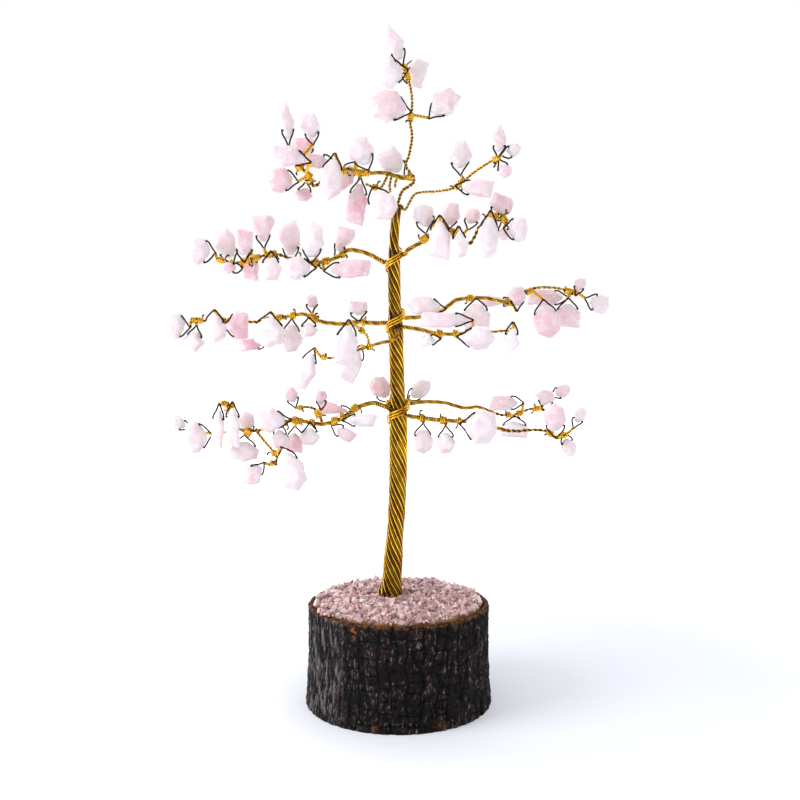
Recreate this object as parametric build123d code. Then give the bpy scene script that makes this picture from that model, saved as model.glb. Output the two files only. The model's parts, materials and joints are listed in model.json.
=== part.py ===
from build123d import *
import os
from math import atan2, ceil, cos, degrees, pi, radians, sin

# A tree of twisted brass wire whose twigs end in drilled stone chips, planted in a slice of log.
# Millimetres, +Z up, origin at the middle of the log's flat underside, -Y towards the viewer.

# Log slice
log_height = 29.3
log_top_diameter = 51.6
log_foot_diameter = 53.6
bark_thickness = 2.4
bark_ridge_depth = 0.95
bark_ridges = 23
bark_furrow_share = 0.36
bark_wander_share = 0.28
bark_shallow_share = 0.45
bark_level_shares = [0, 0.24, 0.5, 0.76, 1]
log_facets = 42
bark_rim_drop = 0.5
bark_waist_inset = 0.45
rim_width = 1.5
wood_dish_depth = 1.2

# Glue and gravel on the log, and the drilled hole that holds the trunk
bore_diameter = 8.6
bore_depth = 14.0
bore_facets = 16
plug_clearance = 0.05
bed_crown = 1.4
bed_clearance = 0.1
bed_rings = 4
bed_facets = 30
stone_size = 2.0
stone_count = 58
stone_seat_gap = 0.06
stone_sides = 4
stone_mean_share = 0.75
stone_swing_share = 0.35
stone_lean_share = 0.25
stone_top_share = 0.65
stone_height_share = 0.6
stone_margin_share = 0.6
stone_swing_step_deg = 132
stone_lean_step_deg = 97
stone_turn_step_deg = 40
sunflower_turn_deg = 137.5

# Wire
wire_diameter = 0.45
strand_diameter = 0.94
strand_fit_share = 0.91
strand_sides = 5
loop_sides = 5
stem_sides = 5
collar_wire_diameter = 0.5
wire_gap = 0.1
steep_share = 0.8

# Trunk of laid strands
lay_pitch = 30.0
lay_steps = 8
foot_flare = 0.8
foot_flare_height = 7.0
foot_end_gap = 1.0
core_sides = 6
core_gap = 0.06

# Collars where branch wires wrap the trunk
collar_wire_count = 3
collar_turns_share = 0.62
collar_steps = 8
collar_rise = 5.4
collar_spacing = 0.775
collar_margin = 0.7
collar_front_deg = -90

# Twigs
root_clearance = 0.3
root_tip_share = 0.5
root_tip_length = 0.7
stem_tip_share = 1.7
bundle_fill_share = 0.756
side_stem_share = 0.6
stalk_gap = 0.08
fork_reach = 1.5
fork_gap = 0.1
fork_end_share = 0.16

# Stone chips
chip_size = 7.5
chip_thick_share = 0.56
chip_thin_share = 0.35
chip_turn_deg = 16
bore_side = 0.75
bore_place_share = -0.55
loop_side_gap = 0.2
cut_overrun = 2.0
flat_tolerance = 0.00000001

# Crown places are read in the photograph: a pixel and a depth give a point on the line of sight
photo_middle_px = 400
photo_focus_px = 1070
eye_side = 0.4
eye_distance = 300.0
eye_height = 112.4
eye_dip_deg = 4.93
crown_depth = 50.0

# Route of the trunk and heights of its tiers in the photograph
trunk_route_px = [(391.0, 591), (392.5, 571), (394.5, 540), (396.5, 515), (398.0, 480), (398.5, 430),
                  (398.0, 400), (396.2, 350), (395.8, 330), (394.6, 300), (394.0, 262), (394.2, 236),
                  (396.0, 216), (398.6, 205)]
tier_heights_px = {"lower": 412, "middle": 321, "upper": 260, "crown": 206}
# Tier at which each strand leaves the trunk, in the strands' order round it
strand_tiers = ["upper", "lower", "crown", "middle", "crown", "lower",
                "upper", "crown", "middle", "lower", "crown", "crown"]

# Chip outlines in shares of half the width and half the length, wire end at -1 along the length
chip_form_shares = {
    "nugget": [(0.22, -1), (1.0, -0.15), (0.55, 1.0), (-0.45, 0.95), (-1.0, 0.0), (-0.22, -1)],
    "slab": [(0.24, -1), (0.98, -0.4), (1.0, 0.8), (-0.85, 1.0), (-1.0, -0.3), (-0.22, -1)],
    "wedge": [(0.2, -1), (1.0, 0.45), (0.7, 1.0), (-0.95, 0.8), (-0.22, -1)],
    "shard": [(0.22, -1), (1.0, -0.2), (0.15, 1.0), (-0.9, 0.2), (-0.22, -1)],
    "pebble": [(0.24, -1), (0.97, -0.3), (0.8, 0.6), (0.0, 1.0), (-0.85, 0.6), (-0.97, -0.25), (-0.24, -1)],
}
chip_section_shares = [(-1.0, 0.62, 0.06), (-0.35, 1.0, 0.0), (0.4, 1.0, 0.0), (1.0, 0.55, -0.07)]

# Twigs. A root is (tier, photograph height, azimuth in degrees from +X). A route point is (x, y, depth
# share) and a chip is (x, y, depth share, length share, width share, lean in degrees, form), with x and
# y in photograph pixels, depths in shares of crown_depth and sizes in shares of chip_size.
twig_px_shares = {
    "leader": {
        "root": ("crown", (400, 203, 0.0), None), "wires": 2.1,
        "stems": [[(402.5, 191, 0.0), (414, 181, 0.0), (406, 166, 0.0), (409, 155, 0.0), (412, 136, 0.0),
                   (410, 121, 0.0), (412, 107, 0.0), (411, 90, 0.0), (406, 72, 0.0), (404, 65, 0.0)]],
        "chips": [(393, 42, -0.02, 1.4, 0.8, 112, "shard"), (390, 73, -0.07, 0.9, 1.24, 190, "nugget"),
                  (416, 73, 0.09, 0.84, 1.12, -12, "slab"), (387, 106, -0.03, 1.4, 1.24, 165, "pebble"),
                  (444, 103, 0.02, 1.15, 1.05, 45, "nugget")]},
    "crown_right": {
        "root": ("crown", (400, 209, 0.0), 0), "wires": 0.6,
        "stems": [[(414, 195, -0.01), (424, 192, -0.02), (440, 191, -0.05), (456, 187, -0.08),
                   (472, 174, -0.11), (479, 169, -0.13), (490, 162, -0.15), (499, 158, -0.16)]],
        "chips": [(459, 155, -0.08, 1.0, 1.0, 95, "nugget"), (478, 188, -0.17, 1.2, 0.62, -5, "slab"),
                  (499, 138, -0.16, 1.0, 0.62, 88, "shard"), (514, 150, -0.14, 0.55, 0.5, 20, "pebble"),
                  (505, 171, -0.17, 0.5, 0.55, -60, "nugget")]},
    "crown_left": {
        "root": ("leader", (412, 177, 0.0), 180), "wires": 3.5,
        "stems": [[(402, 178, -0.01), (385, 173, -0.02), (372, 173, -0.03), (360, 173, -0.05),
                   (348, 169, -0.06), (337, 174, -0.07), (326, 178, -0.08), (315, 186, -0.1),
                   (310, 180, -0.1), (306, 173, -0.1), (296, 165, -0.1)],
                  [(387, 177, -0.03), (384, 183, -0.05), (380, 188, -0.06), (373, 187, -0.08),
                   (366, 184, -0.08)],
                  [(391, 178.5, 0.0), (389.5, 186, 0.0), (390.3, 192, 0.0)],
                  [(396, 180.3, 0.01), (395, 185, 0.01), (395.2, 187.5, 0.01)]],
        "chips": [(360, 150, -0.09, 1.12, 1.0, 112, "pebble"), (391, 161, 0.08, 1.05, 0.9, 130, "slab"),
                  (345, 178, 0.04, 1.0, 0.8, 235, "nugget"), (331, 180, -0.16, 1.5, 0.9, 262, "pebble"),
                  (357, 205, -0.05, 1.5, 0.72, -98, "slab"), (383, 206, -0.14, 1.1, 1.1, -62, "pebble"),
                  (286, 119, -0.1, 1.4, 0.62, 95, "shard"), (311, 126, -0.06, 0.9, 0.76, 95, "nugget"),
                  (303, 146, 0.08, 0.66, 0.84, 100, "slab"), (288, 156, -0.2, 1.25, 0.8, 165, "nugget"),
                  (316, 161, -0.02, 1.0, 0.55, 175, "slab"), (280, 180, -0.1, 0.9, 1.0, 175, "pebble"),
                  (304, 195, 0.0, 0.52, 0.68, -100, "nugget")]},
    "upper_left": {
        "root": ("upper", (400, 262, 0.0), 180), "wires": 5,
        "stems": [[(380, 260, -0.01), (366, 253, -0.02), (349, 250, -0.04), (338, 257, -0.06),
                   (326, 261, -0.07), (312, 263, -0.08), (296, 260, -0.09), (274, 254, -0.11),
                   (256, 258, -0.12), (241, 262, -0.13), (228, 263, -0.13), (217, 259, -0.13)]],
        "chips": [(351, 269, -0.11, 1.55, 0.66, 4, "slab"), (343, 239, 0.05, 1.0, 0.82, 65, "wedge"),
                  (312, 239, -0.13, 1.3, 0.94, 88, "pebble"), (290, 238, 0.0, 1.3, 0.94, 92, "nugget"),
                  (297, 268, -0.18, 0.95, 0.9, 180, "pebble"), (271, 269, -0.18, 0.84, 0.84, -90, "nugget"),
                  (262, 228, -0.11, 1.0, 1.0, 95, "wedge"), (251, 269, -0.02, 0.86, 0.6, -90, "slab"),
                  (244, 242, -0.2, 1.0, 0.66, 90, "slab"), (225, 244, -0.03, 1.1, 1.0, 112, "nugget"),
                  (229, 268, -0.2, 0.55, 0.45, 180, "nugget"), (199, 251, -0.13, 0.78, 1.08, 172, "pebble")]},
    "upper_right": {
        "root": ("upper", (400, 254, 0.0), -20), "wires": 5,
        "stems": [[(409, 249, -0.05), (420, 243, -0.07), (430, 235, -0.09), (437, 225, -0.11),
                   (448, 228, -0.12), (458, 237, -0.13), (468, 244, -0.14), (474, 238, -0.15),
                   (479, 227, -0.16), (490, 218, -0.16), (500, 214, -0.16), (507, 222, -0.16)]],
        "chips": [(424, 215, -0.06, 0.9, 0.8, 95, "pebble"), (440, 241, -0.2, 1.4, 0.78, -90, "slab"),
                  (451, 214, -0.04, 0.85, 0.72, 80, "nugget"), (460, 245, -0.23, 0.9, 0.66, -85, "nugget"),
                  (473, 216, -0.07, 0.62, 0.6, 70, "pebble"), (488, 238, -0.25, 1.5, 0.8, -95, "pebble"),
                  (501, 204, -0.04, 0.75, 0.88, 75, "slab"), (519, 229, -0.2, 0.7, 1.05, 0, "pebble"),
                  (504, 234, -0.09, 0.5, 0.5, -80, "nugget")]},
    "middle_left": {
        "root": ("middle", (400, 323, 0.0), 175), "wires": 5.5,
        "stems": [[(373, 323, 0.03), (356, 322, 0.04), (344, 324, 0.05), (323, 322, 0.06),
                   (311, 317, 0.07), (302, 314, 0.07), (283, 317, 0.08), (263, 321, 0.09),
                   (245, 322, 0.1), (225, 321, 0.11), (206, 321, 0.11), (191, 320, 0.11)]],
        "chips": [(358, 308, -0.04, 0.56, 0.72, 95, "slab"), (309, 330, -0.03, 0.5, 0.76, -90, "nugget"),
                  (312, 301, 0.14, 0.5, 0.5, 90, "pebble"), (292, 339, 0.07, 1.05, 0.88, -90, "nugget"),
                  (269, 333, -0.05, 1.12, 1.36, -95, "pebble"), (251, 345, 0.1, 0.96, 0.5, 190, "slab"),
                  (239, 325, 0.01, 0.78, 1.1, 0, "slab"), (215, 330, -0.09, 1.04, 0.94, -90, "pebble"),
                  (194, 342, 0.11, 0.8, 0.86, -100, "nugget"), (175, 326, 0.11, 0.74, 1.1, 176, "pebble")]},
    "middle_left_front": {
        "root": ("middle", (400, 330, 0.0), -85), "wires": 3,
        "stems": [[(397, 336, -0.1), (390, 341, -0.12), (381, 343, -0.14), (369, 347, -0.18),
                   (358, 350, -0.21), (344, 355, -0.24), (331, 358, -0.25), (321, 357, -0.25)],
                  [(369, 345, -0.18), (367, 336, -0.22), (360, 329, -0.26)]],
        "chips": [(346, 347, -0.34, 1.5, 0.8, -95, "slab"), (352, 367, -0.11, 1.3, 0.66, -112, "slab"),
                  (306, 371, -0.25, 1.36, 0.8, -110, "nugget")]},
    "middle_right_high": {
        "root": ("middle", (400, 318, 0.0), 25), "wires": 5,
        "stems": [[(420, 317, 0.06), (436, 314, 0.08), (448, 306, 0.09), (456, 300, 0.1), (470, 298, 0.11),
                   (485, 298, 0.12), (500, 301, 0.13), (512, 303, 0.14), (521, 295, 0.15),
                   (536, 288, 0.16), (556, 288, 0.17), (568, 291, 0.17), (578, 293, 0.17)]],
        "chips": [(424, 306, -0.06, 1.2, 0.8, 172, "pebble"), (476, 318, 0.03, 1.04, 1.16, -90, "pebble"),
                  (495, 302, 0.22, 1.2, 0.6, 180, "wedge"), (517, 296, 0.04, 0.72, 0.72, 90, "nugget"),
                  (545, 298, 0.26, 1.4, 0.66, 180, "slab"), (568, 316, 0.15, 0.94, 1.0, -90, "slab"),
                  (547, 322, 0.0, 1.26, 1.12, -80, "pebble"), (580, 284, 0.12, 0.5, 0.5, 70, "nugget"),
                  (600, 304, 0.17, 0.78, 0.86, -20, "pebble")]},
    "middle_right_low": {
        "root": ("middle", (400, 327, 0.0), -30), "wires": 4,
        "stems": [[(418, 329, -0.08), (430, 332, -0.09), (443, 334, -0.1), (456, 334, -0.11),
                   (472, 332, -0.12), (488, 332, -0.13), (502, 331, -0.14), (514, 330, -0.15)]],
        "chips": [(442, 320, -0.2, 1.8, 0.56, 180, "slab"), (428, 341, -0.18, 0.5, 0.5, 190, "nugget"),
                  (479, 338, -0.25, 1.16, 0.94, -4, "pebble"), (512, 342, -0.24, 1.0, 0.64, -92, "shard")]},
    "lower_left": {
        "root": ("lower", (400, 407, 0.0), 190), "wires": 7,
        "stems": [[(374, 403, -0.05), (364, 405, -0.06), (354, 409, -0.07), (341, 419, -0.08),
                   (323, 424, -0.09), (307, 422, -0.1), (294, 420, -0.11), (280, 424, -0.12),
                   (265, 429, -0.13), (252, 431, -0.14), (239, 430, -0.14), (226, 432, -0.14),
                   (214, 434, -0.15)],
                  [(321.6, 420.6, -0.085), (316, 410, -0.09), (307, 407, -0.09), (298, 408, -0.09)],
                  [(231, 427.6, -0.14), (229, 415, -0.14), (231, 405, -0.15), (219, 403, -0.15)]],
        "chips": [(333, 409, 0.0, 1.1, 0.6, 172, "wedge"), (321, 397, -0.13, 0.5, 0.5, 90, "nugget"),
                  (346, 434, -0.08, 0.8, 0.5, -30, "slab"), (363, 420, -0.17, 1.08, 0.52, 0, "slab"),
                  (291, 395, -0.09, 0.6, 0.6, 110, "nugget"), (310, 437, -0.17, 0.66, 0.8, -90, "nugget"),
                  (295, 443, -0.07, 0.8, 0.64, -90, "slab"), (280, 440, -0.19, 0.8, 0.6, -90, "pebble"),
                  (270, 420, -0.26, 1.08, 1.0, 180, "nugget"), (246, 421, -0.04, 0.8, 0.72, 95, "pebble"),
                  (233, 428, -0.27, 1.44, 0.52, -90, "slab"), (218, 430, -0.23, 1.44, 0.48, -94, "slab"),
                  (244, 452, -0.14, 0.8, 1.16, -92, "pebble"), (195, 437, -0.2, 0.84, 1.3, 188, "pebble"),
                  (178, 423, -0.05, 0.6, 0.56, 150, "nugget")]},
    "lower_left_front": {
        "root": ("lower_left", (258, 430, -0.14), -100), "wires": 1.5,
        "stems": [[(266, 443, -0.21), (273, 451, -0.23), (277, 459, -0.25), (270, 465, -0.25)]],
        "chips": [(252, 475, -0.25, 0.86, 0.8, 225, "nugget"), (291, 472, -0.29, 1.5, 1.16, -70, "pebble")]},
    "lower_right_high": {
        "root": ("lower", (400, 404, 0.0), 20), "wires": 5,
        "stems": [[(422, 402, 0.05), (434, 402, 0.07), (446, 403, 0.09), (464, 408, 0.1), (478, 407, 0.11),
                   (492, 412, 0.12), (502, 415, 0.13), (517, 414, 0.14), (530, 409, 0.15),
                   (541, 408, 0.16)]],
        "chips": [(503, 403, 0.03, 1.12, 0.6, 180, "slab"), (515, 430, 0.04, 0.64, 1.1, -88, "slab"),
                  (546, 397, 0.07, 0.6, 0.8, 80, "nugget"), (563, 391, 0.18, 0.66, 0.56, 22, "pebble")]},
    "lower_right_low": {
        "root": ("lower", (400, 415, 0.0), -35), "wires": 6.5,
        "stems": [[(423, 418, -0.09), (441, 420, -0.1), (457, 421, -0.11), (472, 422, -0.12),
                   (488, 425, -0.12), (504, 430, -0.12), (518, 431, -0.12), (532, 430, -0.12),
                   (546, 431, -0.12), (557, 437, -0.12), (567, 434, -0.12)]],
        "chips": [(423, 442, -0.09, 0.92, 0.8, -90, "pebble"), (446, 443, -0.11, 0.8, 0.82, -88, "nugget"),
                  (482, 427, -0.24, 1.2, 1.4, -8, "pebble"), (555, 417, -0.21, 1.1, 0.86, 92, "pebble"),
                  (580, 415, -0.12, 0.64, 0.5, 65, "nugget"), (569, 447, -0.1, 0.7, 0.64, -70, "nugget")]},
    "lower_back_left": {
        "root": ("lower", (400, 408, 0.0), 130), "wires": 0,
        "stems": [[(388, 402, 0.13)]],
        "chips": [(380, 387, 0.16, 0.95, 0.86, 122, "pebble")]},
    "lower_back_right": {
        "root": ("lower", (400, 406, 0.0), 50), "wires": 0,
        "stems": [[(409, 401, 0.14)]],
        "chips": [(421, 389, 0.18, 0.94, 0.7, 40, "pebble")]},
}

os.makedirs("parts", exist_ok=True)


def seen(x_px, y_px, depth):
    """Point at a depth behind the trunk's plane, on the line of sight through a pixel."""
    dip = radians(eye_dip_deg)
    down = y_px - photo_middle_px
    ahead = photo_focus_px * cos(dip) - down * sin(dip)
    fall = photo_focus_px * sin(dip) + down * cos(dip)
    reach = (eye_distance + depth) / ahead
    return Vector(eye_side + (x_px - photo_middle_px) * reach, depth, eye_height - fall * reach)


def placed(x_px, y_px, depth_share):
    """Point of a twig, at a share of the crown's depth."""
    return seen(x_px, y_px, depth_share * crown_depth)


def ring(radius, sides, turn=0.0):
    """Points of a regular polygon round the origin."""
    return [(radius * cos(turn + 2 * pi * k / sides), radius * sin(turn + 2 * pi * k / sides))
            for k in range(sides)]


def flat_ring(points, height):
    """Section through plan points at one height."""
    return [Vector(x, y, height) for x, y in points]


def facet(points):
    """Flat face through points."""
    return Face(Wire.make_polygon(points, close=True))


def ruled(sections):
    """Solid with flat facets between sections of as many points each."""
    facets = [facet(sections[0]), facet(sections[-1])]
    for low, high in zip(sections, sections[1:]):
        for a, b, c, d in zip(low, low[1:] + low[:1], high[1:] + high[:1], high):
            square = (b - a).cross(d - a)
            if abs(square.dot(c - a)) < flat_tolerance * square.length:
                facets.append(facet([a, b, c, d]))
            else:
                facets += [facet([a, b, c]), facet([a, c, d])]
    return Solid(Shell(facets))


def tube(points, radii, sides):
    """Faceted wire through points, mitred at every bend."""
    ways = [(b - a).normalized() for a, b in zip(points, points[1:])]
    up = Vector(0, 0, 1) if abs(ways[0].Z) < steep_share else Vector(1, 0, 0)
    side = ways[0].cross(up).normalized()
    sections = []
    for k, (point, radius) in enumerate(zip(points, radii)):
        way = ways[max(k - 1, 0)]
        onward = ways[min(k, len(ways) - 1)]
        mitre = (way + onward).normalized()
        other = way.cross(side)
        section = []
        for c, s in ring(radius, sides):
            arm = side * c + other * s
            section.append(point + arm - way * (arm.dot(mitre) / way.dot(mitre)))
        sections.append(section)
        axis = way.cross(onward)
        if axis.length > 0:
            turn = degrees(atan2(axis.length, way.dot(onward)))
            side = side.rotate(Axis((0, 0, 0), tuple(axis)), turn)
    return ruled(sections)


def save(name, solids):
    """Write one named piece, or a group of like pieces."""
    export_step(Compound(label=name, children=list(solids)), f"parts/{name}.step")


# Log: a dished wood core, drilled for the trunk, in a ring of ridged bark

def log_radius(height_share):
    """Radius of the tapering log at a share of its height."""
    return (log_foot_diameter + (log_top_diameter - log_foot_diameter) * height_share) / 2


def wood_ring(height):
    """Section of the wood inside the bark at a height."""
    return flat_ring(ring(log_radius(height / log_height) - bark_thickness, log_facets), height)


def bark_outline(height_share):
    """Plan outline of the bark at a share of the log's height: flat plates between wandering furrows."""
    base = log_radius(height_share) - bark_waist_inset * sin(pi * height_share)
    points = []
    for k in range(bark_ridges):
        phase = radians(sunflower_turn_deg * k)
        wander = bark_wander_share * sin(phase + 2 * pi * height_share)
        depth = bark_ridge_depth * (1 - bark_shallow_share * sin(2 * phase + pi * height_share) ** 2)
        for place, sunk in ((-bark_furrow_share / 2, 0), (0, depth), (bark_furrow_share / 2, 0)):
            angle = 2 * pi * (k + wander + place) / bark_ridges
            points.append(((base - sunk) * cos(angle), (base - sunk) * sin(angle)))
    return points


rim_radius = log_radius(1) - bark_thickness - rim_width
dish_floor = log_height - wood_dish_depth
bore_floor = log_height - bore_depth


def foot_ring(radius):
    """Plan outline round the trunk's foot."""
    return [(trunk_axis(0) + x, y) for x, y in ring(radius, bore_facets)]


def log_wood():
    """Wood core, dished inside its sawn rim, with the blind hole for the trunk."""
    core = ruled([wood_ring(0), wood_ring(log_height)])
    dish = ruled([flat_ring(ring(rim_radius, bed_facets), z) for z in (dish_floor, log_height + cut_overrun)])
    bore = ruled([flat_ring(foot_ring(bore_diameter / 2), z) for z in (bore_floor, log_height + cut_overrun)])
    return core - dish - bore


def log_bark():
    """Ring of bark round the core, a little lower than the sawn rim."""
    top = log_height - bark_rim_drop
    outer = ruled([flat_ring(bark_outline(share), share * top) for share in bark_level_shares])
    inner = ruled([wood_ring(-cut_overrun), wood_ring(log_height + cut_overrun)])
    return outer - inner


# Trunk: strands laid round a core, fewer after each tier

def trunk_axis(height):
    """Middle of the trunk at a height, from the photographed route."""
    places = [seen(x, y, 0) for x, y in trunk_route_px]
    if height <= places[0].Z:
        return places[0].X
    for low, high in zip(places, places[1:]):
        if height <= high.Z:
            return low.X + (high.X - low.X) * (height - low.Z) / (high.Z - low.Z)
    return places[-1].X


def tier_height(tier):
    """Height of a tier's middle."""
    return seen(photo_middle_px, tier_heights_px[tier], 0).Z


tiers = list(tier_heights_px)


def standing(tier):
    """Strands that still run in the trunk below a tier, in their order round it."""
    return [k for k, last in enumerate(strand_tiers) if tiers.index(last) >= tiers.index(tier)]


def lay_radius(tier):
    """Radius of the ring on which the strands below a tier lie side by side."""
    return strand_diameter / (2 * sin(pi / len(standing(tier))))


def trunk_radius(tier):
    """Outer radius of the trunk just below a tier."""
    return lay_radius(tier) + strand_diameter / 2


def trunk_levels():
    """Heights of the strands' sections, with the tier that each section belongs to."""
    levels = []
    low = bore_floor + foot_end_gap
    for tier in tiers:
        high = tier_height(tier)
        steps = ceil((high - low) / (lay_pitch / lay_steps))
        start = 0 if tier == tiers[0] else 1
        levels += [(low + (high - low) * k / steps, tier) for k in range(start, steps + 1)]
        low = high
    return levels


def strand_angles(tier):
    """Angle of each standing strand before the lay turns it, evenly spaced and moved as little as may be."""
    order = standing(tier)
    even = [2 * pi * k / len(order) for k in range(len(order))]
    if tier == tiers[0]:
        return dict(zip(order, even))
    before = strand_angles(tiers[tiers.index(tier) - 1])
    offset = sum(before[number] - angle for number, angle in zip(order, even)) / len(order)
    return {number: angle + offset for number, angle in zip(order, even)}


def foot_spread(height):
    """Extra radius of the splayed strands near the log's top."""
    rise = (height - log_height) / foot_flare_height
    return foot_flare * max(0, 1 - abs(rise)) ** 2


def strand(number):
    """One laid strand from the foot to the tier where it leaves the trunk."""
    last = strand_tiers[number]
    sections = []
    for height, tier in trunk_levels():
        if tiers.index(tier) > tiers.index(last):
            break
        angle = strand_angles(tier)[number] - 2 * pi * height / lay_pitch
        radius = lay_radius(tier) + foot_spread(height)
        x0 = trunk_axis(height) + radius * cos(angle)
        y0 = radius * sin(angle)
        points = [(x0 + x, y0 + y) for x, y in ring(strand_diameter / 2 * strand_fit_share, strand_sides)]
        sections.append(flat_ring(points, height))
    return ruled(sections)


def trunk_core():
    """Straight inner wires of the trunk, as one tapering core."""
    sections = []
    for height, tier in trunk_levels():
        chord = cos(pi / lay_steps)
        radius = lay_radius(tier) * chord - strand_diameter / 2 - core_gap
        points = [(trunk_axis(height) + x, y) for x, y in ring(radius, core_sides)]
        sections.append(flat_ring(points, height))
    return ruled(sections)


def collar_radius(tier):
    """Radius of the line of the wires wrapped round the trunk at a tier."""
    return trunk_radius(tier) + wire_gap + collar_wire_diameter / 2


def collar(tier):
    """Branch wires wrapped side by side over the front of the trunk, rising to the right."""
    wires = []
    middle = tier_height(tier)
    for number in range(collar_wire_count):
        shift = (number - (collar_wire_count - 1) / 2) * collar_spacing
        points = []
        for k in range(collar_steps + 1):
            share = k / collar_steps - 0.5
            angle = radians(collar_front_deg) + 2 * pi * collar_turns_share * share
            height = middle + collar_rise * share + shift
            points.append(Vector(trunk_axis(height) + collar_radius(tier) * cos(angle),
                                 collar_radius(tier) * sin(angle), height))
        wires.append(tube(points, [collar_wire_diameter / 2] * len(points), stem_sides))
    return wires


def collar_reach(tier, azimuth, height):
    """How far the wrapped wires stand out of the trunk where a twig leaves it."""
    if tier == tiers[-1]:
        return 0
    turn = (azimuth - collar_front_deg + 180) % 360 - 180
    share = turn / (360 * collar_turns_share)
    offset = abs(height - tier_height(tier) - collar_rise * share)
    if abs(share) > 0.5 or offset > collar_spacing * collar_wire_count / 2 + collar_margin:
        return 0
    return wire_gap + collar_wire_diameter


# Glue and gravel

def bed_height(radius):
    """Height of the glue bed's surface at a distance from the middle."""
    return log_height + bed_crown * (1 - (radius / rim_radius) ** 2)


def plug_radius():
    """Inner radius of the glue round the trunk's foot."""
    return lay_radius(tiers[0]) + foot_flare + strand_diameter / 2 + plug_clearance


def glue_plug():
    """Glue in the drilled hole, round the trunk's strands."""
    body = ruled([flat_ring(foot_ring(bore_diameter / 2 - plug_clearance), z)
                  for z in (bore_floor, dish_floor)])
    return body - ruled([flat_ring(foot_ring(plug_radius()), z)
                         for z in (bore_floor - cut_overrun, log_height + cut_overrun)])


def glue_bed():
    """Low dome of glue inside the rim, with a hole for the trunk."""
    radii = [rim_radius - bed_clearance] + [rim_radius * (1 - k / bed_rings) for k in range(1, bed_rings)]
    sections = [flat_ring(ring(radii[0], bed_facets), dish_floor)]
    for k, radius in enumerate(radii):
        sections.append(flat_ring(ring(radius, bed_facets, k * pi / bed_facets), bed_height(radius)))
    return ruled(sections) - ruled([flat_ring(foot_ring(plug_radius()), z)
                                    for z in (0, log_height + bed_crown + cut_overrun)])


def gravel_stones():
    """Crushed stone scattered in a sunflower pattern on the glue bed."""
    stones = []
    inner = plug_radius() + stone_size
    outer = rim_radius - stone_size * stone_margin_share
    for k in range(stone_count):
        spread = inner + (outer - inner) * ((k + 0.5) / stone_count) ** 0.5
        angle = radians(sunflower_turn_deg * k)
        swing = stone_swing_share * sin(radians(stone_swing_step_deg * k))
        size = stone_size * (stone_mean_share + swing)
        lean = size * stone_lean_share * sin(radians(stone_lean_step_deg * k))
        floor = bed_height(spread - size / 2) + stone_seat_gap
        x0, y0 = spread * cos(angle), spread * sin(angle)
        base = ring(size / 2, stone_sides, radians(stone_turn_step_deg * k))
        top = [(x0 + lean + x * stone_top_share, y0 + y * stone_top_share) for x, y in base]
        base = [(x0 + x, y0 + y) for x, y in base]
        stones.append(ruled([flat_ring(base, floor), flat_ring(top, floor + size * stone_height_share)]))
    return stones


# Twigs: a stem, a wire loop for every chip, and the drilled chips

def twig_root(name):
    """Point where a twig leaves what carries it, and the way that it starts out in."""
    carrier, place, azimuth = twig_px_shares[name]["root"]
    if azimuth is None:
        top = tier_height(carrier)
        return Vector(trunk_axis(top), 0, top + root_clearance), Vector(0, 0, 1)
    way = Vector(cos(radians(azimuth)), sin(radians(azimuth)), 0)
    spot = placed(*place)
    if carrier in tiers:
        out = trunk_radius(carrier) + collar_reach(carrier, azimuth, spot.Z) + root_clearance
        return Vector(trunk_axis(spot.Z), 0, spot.Z) + way * out, way
    gap, spot, stem, share = nearest_on(stem_points(carrier), spot)
    return spot + way * (stem_radius(carrier, share) + root_clearance), way


def stem_points(name):
    """Centre lines of a twig's stems; the first starts at the root."""
    lines = [[placed(*place) for place in route] for route in twig_px_shares[name]["stems"]]
    root, way = twig_root(name)
    lines[0] = [root, root + way * root_tip_length] + lines[0]
    return lines


def stem_radius(name, share):
    """Radius of a twig's bundle of wires, thinner as its wires leave it."""
    wires = stem_tip_share + twig_px_shares[name]["wires"] * (1 - share)
    return wire_diameter / 2 * (wires / bundle_fill_share) ** 0.5


def stem_tubes(name):
    """Solid stems of a twig."""
    tubes = []
    for number, points in enumerate(stem_points(name)):
        last = len(points) - 1
        start = 0 if number == 0 else side_stem_share
        radii = [stem_radius(name, start + (1 - start) * k / last) for k in range(last + 1)]
        if number == 0:
            radii[0] *= root_tip_share
        tubes.append(tube(points, radii, stem_sides))
    return tubes


def chip_plane(number, chip):
    """Plane of a chip: x across it along its bore, y away from the wire, z through its thickness."""
    x_px, y_px, depth_share, length, width, lean, form = chip
    out = Vector(cos(radians(lean)), 0, sin(radians(lean)))
    turn = chip_turn_deg * sin(radians(sunflower_turn_deg * number) + lean)
    normal = Vector(0, -1, 0).rotate(Axis((0, 0, 0), tuple(out)), turn)
    return Plane(origin=placed(x_px, y_px, depth_share), x_dir=out.cross(normal), z_dir=normal)


def chip_outline(chip):
    """Outline points of a chip in its own plane."""
    half_width = chip_size * chip[4] / 2
    half_length = chip_size * chip[3] / 2
    return [(x * half_width, y * half_length) for x, y in chip_form_shares[chip[6]]]


def chip_thickness(chip):
    """Thickness of a chip, from the smaller of its two sizes and the usual one."""
    small = chip_thin_share + (1 - chip_thin_share) * min(chip[3], chip[4])
    return chip_size * chip_thick_share * min(1, small)


def side_reach(chip):
    """How far the chip's left and right sides lie from its middle line at the bore."""
    level = bore_place_share * chip_size * chip[3] / 2
    outline = chip_outline(chip)
    crossings = []
    for (x0, y0), (x1, y1) in zip(outline, outline[1:] + outline[:1]):
        if (y0 - level) * (y1 - level) < 0:
            crossings.append(x0 + (x1 - x0) * (level - y0) / (y1 - y0))
    return min(crossings), max(crossings), level


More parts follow.
